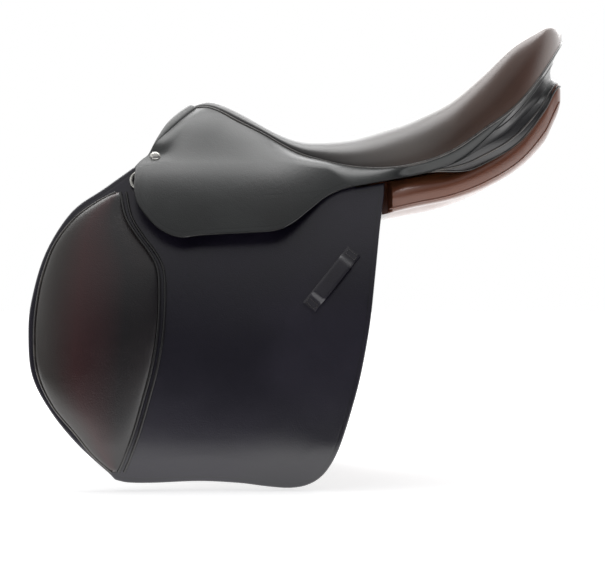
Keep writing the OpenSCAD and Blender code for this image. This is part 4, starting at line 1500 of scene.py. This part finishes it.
@dataclass
class Underside(Maker):
    """Panels, sweat flaps and knee rolls under the flaps."""

    sweat: Flat = (-22.45, -18.45)
    panel_limit: float = -23.05
    sides: int = 44
    sweat_edge: Rows = ((0.27, 0.78), (0.16, 0.775), (0.1, 0.71), (0.065, 0.58), (0.06, 0.46), (0.075, 0.34),
                        (0.12, 0.24), (0.2, 0.14), (0.28, 0.09), (0.4, 0.075), (0.55, 0.07), (0.68, 0.06),
                        (0.75, 0.075), (0.79, 0.12), (0.83, 0.22), (0.87, 0.36), (0.9, 0.5), (0.92, 0.64),
                        (0.93, 0.78))
    roll_front: Rows = ((0.16, 0.745), (0.115, 0.69), (0.082, 0.58), (0.077, 0.46), (0.092, 0.35), (0.13, 0.26))
    roll_rear: Rows = ((0.16, 0.275), (0.15, 0.36), (0.145, 0.46), (0.15, 0.58), (0.18, 0.68), (0.2, 0.735))
    rail_inner: Rows = ((0, 0.5), (0.3, 0.6), (0.6, 0.5), (0.76, 0.42), (0.86, 0.3), (0.93, 0.003), (1, 0.003))
    panel_front: float = -179
    panel_rear: float = 244.5
    panel_form: Rows = ((-179, 72, -7, 42, 5, 57), (-172, 72, -6, 56, 13, 57), (-150, 73, 0, 59, 17, 54),
                        (-120, 73, 4, 60, 18, 51), (-60, 73, 7, 58, 18.5, 48), (-10, 71, 10, 48, 18, 36),
                        (30, 70, 16, 43, 16, 23), (60, 74, 20, 45, 15, 17), (90, 78, 25, 50, 15, 13),
                        (130, 80, 33, 51, 15, 12), (165, 77, 45, 47, 16, 10), (200, 65, 66, 37, 17, 10),
                        (226, 54, 93, 25, 20, 7), (236, 49, 110, 19, 19, 4), (242, 46, 119, 15, 15, 0),
                        (244.5, 45, 121, 9, 9, 0))

    def build(self) -> None:
        """Builds both sides."""
        for side in Side:
            self.panel(side)
            self.sweat_flap(side)
            self.knee_roll(side)

    def roof(self, x: float, h: float) -> float:
        """Height of the tree's underside over a point of the panel.

        Args:
            x: Place along the saddle.
            h: Half width of the point.

        Returns:
            The height.
        """
        t = max(0.045, min(0.95, FORM.seat_t(x)))
        z = FORM.edge_z(t) - 11
        run = FORM.plan_run(t)
        draw = (9.5 + 9 * smooth((t - 0.74) / 0.16)) / max(0.05, run[0])
        wide = FORM.seat_half(t) - draw
        flare = 1 - smooth((FORM.seat_x(t) + 30) / 45)
        lean = FORM.lean(8)
        low = (FORM.half_at(8) - 13.4 * math.cos(lean) + 15 * math.sin(lean),
               8 - 13.4 * math.sin(lean) - 15 * math.cos(lean))
        inner = max(0.3, FORM.seat_half(t) * curve(self.rail_inner, t))
        out = (lerp(wide, low[0], flare), lerp(z, low[1], flare))
        return lerp(z, out[1], max(0.0, (h - inner) / (out[0] - inner))) - 1.2

    def panel_point(self, x: float, turn: float) -> Spot:
        """A point of the panel, kept under the tree and inside the sweat flap.

        Args:
            x: Place along the saddle.
            turn: Angle round the section there, in radians.

        Returns:
            The point.
        """
        def swell(v: float) -> float:
            """Fuller than a circle."""
            return math.copysign(abs(v) ** 0.64, v)

        a, b, tilt = (curve(self.panel_form, x, k) for k in (3, 4, 5))
        tilt = math.radians(tilt)
        u, v = a * swell(math.cos(turn)), b * swell(math.sin(turn))
        h = curve(self.panel_form, x, 1) + u * math.cos(tilt) + v * math.sin(tilt)
        z = curve(self.panel_form, x, 2) - u * math.sin(tilt) + v * math.cos(tilt)
        z = min(z, lerp(self.roof(x, h), z, smooth((x - 226) / 12)))
        wall = FORM.half_at(z, self.panel_limit) if x < FORM.flap_rear + 4 else 400
        return x, min(h, wall), z

    def panel(self, side: Side) -> None:
        """Stuffed panel with a welt along its outer side.

        Args:
            side: Side of the saddle.
        """
        def along(u: float) -> float:
            """Place along the saddle, crowded towards both ends."""
            return lerp(self.panel_front, self.panel_rear, smooth(u) * 0.6 + u * 0.4)

        piece = net("panel_" + side.word + "_leather", 130, self.sides,
                    lambda u, v: side.at(self.panel_point(along(u), 2 * math.pi * (v % 1.0))))
        # The panel's front part is coloured near-black as painted shade.
        self.done(piece, PANEL_HIDE_SHADED_FRONT, "core", "brown_leather", ("panel_" + side.word,))
        line = [side.at(self.panel_point(x, math.radians(-12)))
                for x in np.linspace(68, self.panel_rear - 2, 90)]
        self.done(tube("panel_seam_" + side.word, line, 0.9), PANEL_HIDE_SHADED_FRONT, "core", "brown_leather")
        self.gusset(side)

    def gusset(self, side: Side) -> None:
        """Black gusset between the cantle facing and the panel's top, piped along its lower edge.

        Args:
            side: Side of the saddle.
        """
        seat = Seat()

        def point(u: float, v: float, depth: float) -> Spot:
            """A point of the gusset, bulging a little.

            Args:
                u: Share along it.
                v: Share from the facing down to the panel.
                depth: Depth under its face.

            Returns:
                The point.
            """
            t = lerp(0.6, 1.0, 1 - (1 - u) ** 1.3)
            a = np.array(seat.facing_point(t, 0.86, 0))
            v = v * (0.04 + 0.96 * smooth(u / 0.3))
            depth = depth + 2.5 * (1 - smooth(u / 0.12))
            b = np.array(self.panel_point(min(FORM.seat_x(t) - 3, self.panel_rear - 1.5), math.radians(40)))
            run = FORM.plan_run(t)
            out = np.array((-run[1], run[0], 0.25))
            return tuple(lerp(a, b, v) + out * (5 * v * (1 - v) + 0.5 - depth))

        piece = shell("gusset_" + side.word, 90, 12, side, lambda u, v: point(u, v, 0),
                      lambda u, v: point(u, v, 1.4))
        self.done(piece, BLACK_HIDE, "core", "black_leather")
        for number, v in enumerate((0.5, 1.0)):
            line = [side.at(point(i / 90, v, 0)) for i in range(91)]
            piping = tube(f"gusset_piping_{number}_{side.word}", line, 1.1)
            # The piping takes the pale welt colour, a painted highlight.
            self.done(piping, PAINTED_HIGHLIGHT_WELT, "core", "black_leather")

    def sweat_flap(self, side: Side) -> None:
        """Sweat flap against the panel.

        Args:
            side: Side of the saddle.
        """
        line = path([FORM.on_flap(p) for p in self.sweat_edge], 6)

        def face(n: float) -> Face:
            """Surface n outside the flap's middle."""
            return lambda x, z: (x, FORM.half_at(z, n), z)

        piece = leaf("sweat_flap_" + side.word + "_leather", Outline(tuple(line), (-110, -120)), side,
                     face(self.sweat[1]), face(self.sweat[0]), count=300)
        self.done(piece, UNDER_HIDE, "core", "black_leather", ("sweat_flap_" + side.word,))

    def knee_roll(self, side: Side) -> None:
        """Stuffed roll on the front of the sweat flap.

        Args:
            side: Side of the saddle.
        """
        front = [FORM.on_flap(p) for p in path(self.roll_front, 6)]
        rear = [FORM.on_flap(p) for p in reversed(path(self.roll_rear, 6))]
        high = -3.4 - self.sweat[1] - 0.3

        def point(u: float, v: float, full: bool) -> Spot:
            """A point of the roll.

            Args:
                u: Share along it.
                v: Share across it.
                full: Whether it lies on the crowned face and not on the flat back.

            Returns:
                The point.
            """
            i = u * (len(front) - 1)
            k = min(len(front) - 2, int(i))
            a = [lerp(front[k][n], front[k + 1][n], i - k) for n in (0, 1)]
            b = [lerp(rear[k][n], rear[k + 1][n], i - k) for n in (0, 1)]
            x, z = lerp(a[0], b[0], v), lerp(a[1], b[1], v)
            ends = min(1.0, math.sqrt(max(0.0, min(u, 1 - u)) / 0.08))
            n = self.sweat[1] + 0.3 + (1 + (high - 1) * (4 * v * (1 - v)) ** 0.42 * ends if full else 0)
            return x, FORM.half_at(z, n), z

        piece = shell("knee_roll_" + side.word + "_leather", 60, 24, side, lambda u, v: point(u, v, True),
                      lambda u, v: point(u, v, False))
        self.done(piece, ROLL_HIDE, "core", "brown_leather", ("knee_roll_" + side.word,))


@dataclass
class Hardware:
    """Nodes whose shape stays, with the finish of each."""

    finishes: dict[str, Finish] = field(default_factory=lambda: {
        "tree_head": Timber(), "tree_rail": Timber(), "gullet_plate": STEEL, "pommel_facing": BLACK_HIDE,
        "gullet_lining": STRAP_HIDE, "stirrup_bar": STEEL, "bar_rivets": STEEL, "bar_catch": STEEL,
        "catch_pin": STEEL, "girth_web": WEB, "buckle_guard": STRAP_HIDE, "girth_strap": STRAP_HIDE,
        "dee_chape": STEEL, "dee_ring": BRIGHT})

    def build(self) -> None:
        """Puts the finishes on the nodes."""
        for name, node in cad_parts.items():
            for word, finish in self.finishes.items():
                if name.startswith(word):
                    material = finish.material()
                    if not node.material_slots:
                        node.data.materials.append(material)
                    for slot in node.material_slots:
                        slot.material = material
                    LOG.info("%s: %s", name, finish.name)


@dataclass
class Studio:
    """Camera at the photograph's place, pale floor, soft lamps and a white background."""

    eye: Spot = (-0.0183, -2.2, -0.0753)
    lens: float = 125.3
    floor: float = -0.2685

    def build(self) -> None:
        """Builds the studio."""
        self.camera()
        self.floor_sheet()
        self.lamps()
        self.surround()
        bpy.context.scene.view_settings.view_transform = "Standard"

    def camera(self) -> None:
        """Level camera on the near side."""
        clear_selection()
        bpy.ops.object.camera_add(location=self.eye, rotation=(math.pi / 2, 0, 0))
        camera = bpy.context.object
        camera.data.lens, camera.data.sensor_width = self.lens, 36
        camera.data.sensor_fit = "HORIZONTAL"
        camera.data.clip_end = 50
        bpy.context.scene.camera = camera

    def floor_sheet(self) -> None:
        """Pale floor that shows white and keeps the shadow."""
        clear_selection()
        bpy.ops.mesh.primitive_plane_add(size=30, location=(0, 0, self.floor))
        floor = bpy.context.object
        floor.name = "floor"
        made = bpy.data.materials.new("PaleFloor")
        made.use_nodes = True
        g = Graph(made.node_tree)
        paper = g.node("BsdfDiffuse", {"Color": (0.82, 0.82, 0.82, 1)})
        rays = g.node("LightPath")
        where = g.node("TexCoord").outputs["Object"]
        far = g.node("VectorMath", {0: where}, operation="LENGTH").outputs["Value"]
        near = g.sum("ADD", g.sum("MULTIPLY", g.step(far, 0.4, 1.6), 0.4), 0.66)
        seen = g.sum("ADD", g.sum("MULTIPLY", rays.outputs["Is Camera Ray"], near),
                     g.sum("MULTIPLY", rays.outputs["Is Glossy Ray"], 1.1))
        glow = g.node("Emission", {"Color": (1, 1, 1, 1), "Strength": seen})
        both = g.node("AddShader", {0: paper.outputs[0], 1: glow.outputs[0]})
        g.node("OutputMaterial", {"Surface": both.outputs[0]})
        floor.data.materials.append(made)

    def lamps(self) -> None:
        """Large soft lamp overhead and a weaker one behind."""
        for name, place, size, power, turn in (
                ("overhead", (-0.1, 0.45, 1.9), (2.6, 1.2), 24, (math.radians(-12), 0, 0)),
                ("behind", (0.2, 2.0, 1.2), (2.6, 1.4), 22, (math.radians(-62), 0, 0))):
            clear_selection()
            bpy.ops.object.light_add(type="AREA", location=place, rotation=turn)
            lamp = bpy.context.object
            lamp.name = name
            lamp.data.shape = "RECTANGLE"
            lamp.data.size, lamp.data.size_y = size
            lamp.data.energy = power

    def surround(self) -> None:
        """World: white to the camera, and paler behind the saddle than in front of it."""
        world = bpy.data.worlds.new("Studio")
        bpy.context.scene.world = world
        world.use_nodes = True
        g = Graph(world.node_tree)
        way = g.node("SeparateXYZ", {0: g.node("TexCoord").outputs["Generated"]})
        back = g.step(way.outputs[1], -0.1, 0.3)
        high = g.sum("MULTIPLY", g.step(way.outputs[2], 0.48, 0.66), 0.42)
        ahead = g.sum("MULTIPLY", g.step(way.outputs[0], -0.3, -0.75), g.step(way.outputs[2], 0.12, 0.45))
        bright = g.sum("MAXIMUM", g.sum("MAXIMUM", back, high), g.sum("MULTIPLY", ahead, 0.9))
        rays = g.node("LightPath")
        full = g.mix(rays.outputs["Is Glossy Ray"], (0.5, 0.5, 0.5, 1), (1, 1, 1, 1))
        tone = g.mix(bright, (0.07, 0.07, 0.085, 1), full)
        colour = g.mix(rays.outputs["Is Camera Ray"], tone, (1, 1, 1, 1))
        sky = g.node("Background", {"Color": colour, "Strength": 1.0})
        g.node("OutputWorld", {"Surface": sky.outputs[0]})


def main() -> None:
    """Builds the saddle's sub-assemblies and the studio."""
    logging.basicConfig(level=logging.INFO, format="%(message)s")
    for maker in (Studio(), Seat(), Skirts(), Flaps(), Underside(), Hardware()):
        LOG.info("%s", type(maker).__name__)
        maker.build()


if __name__ == "__main__":
    main()
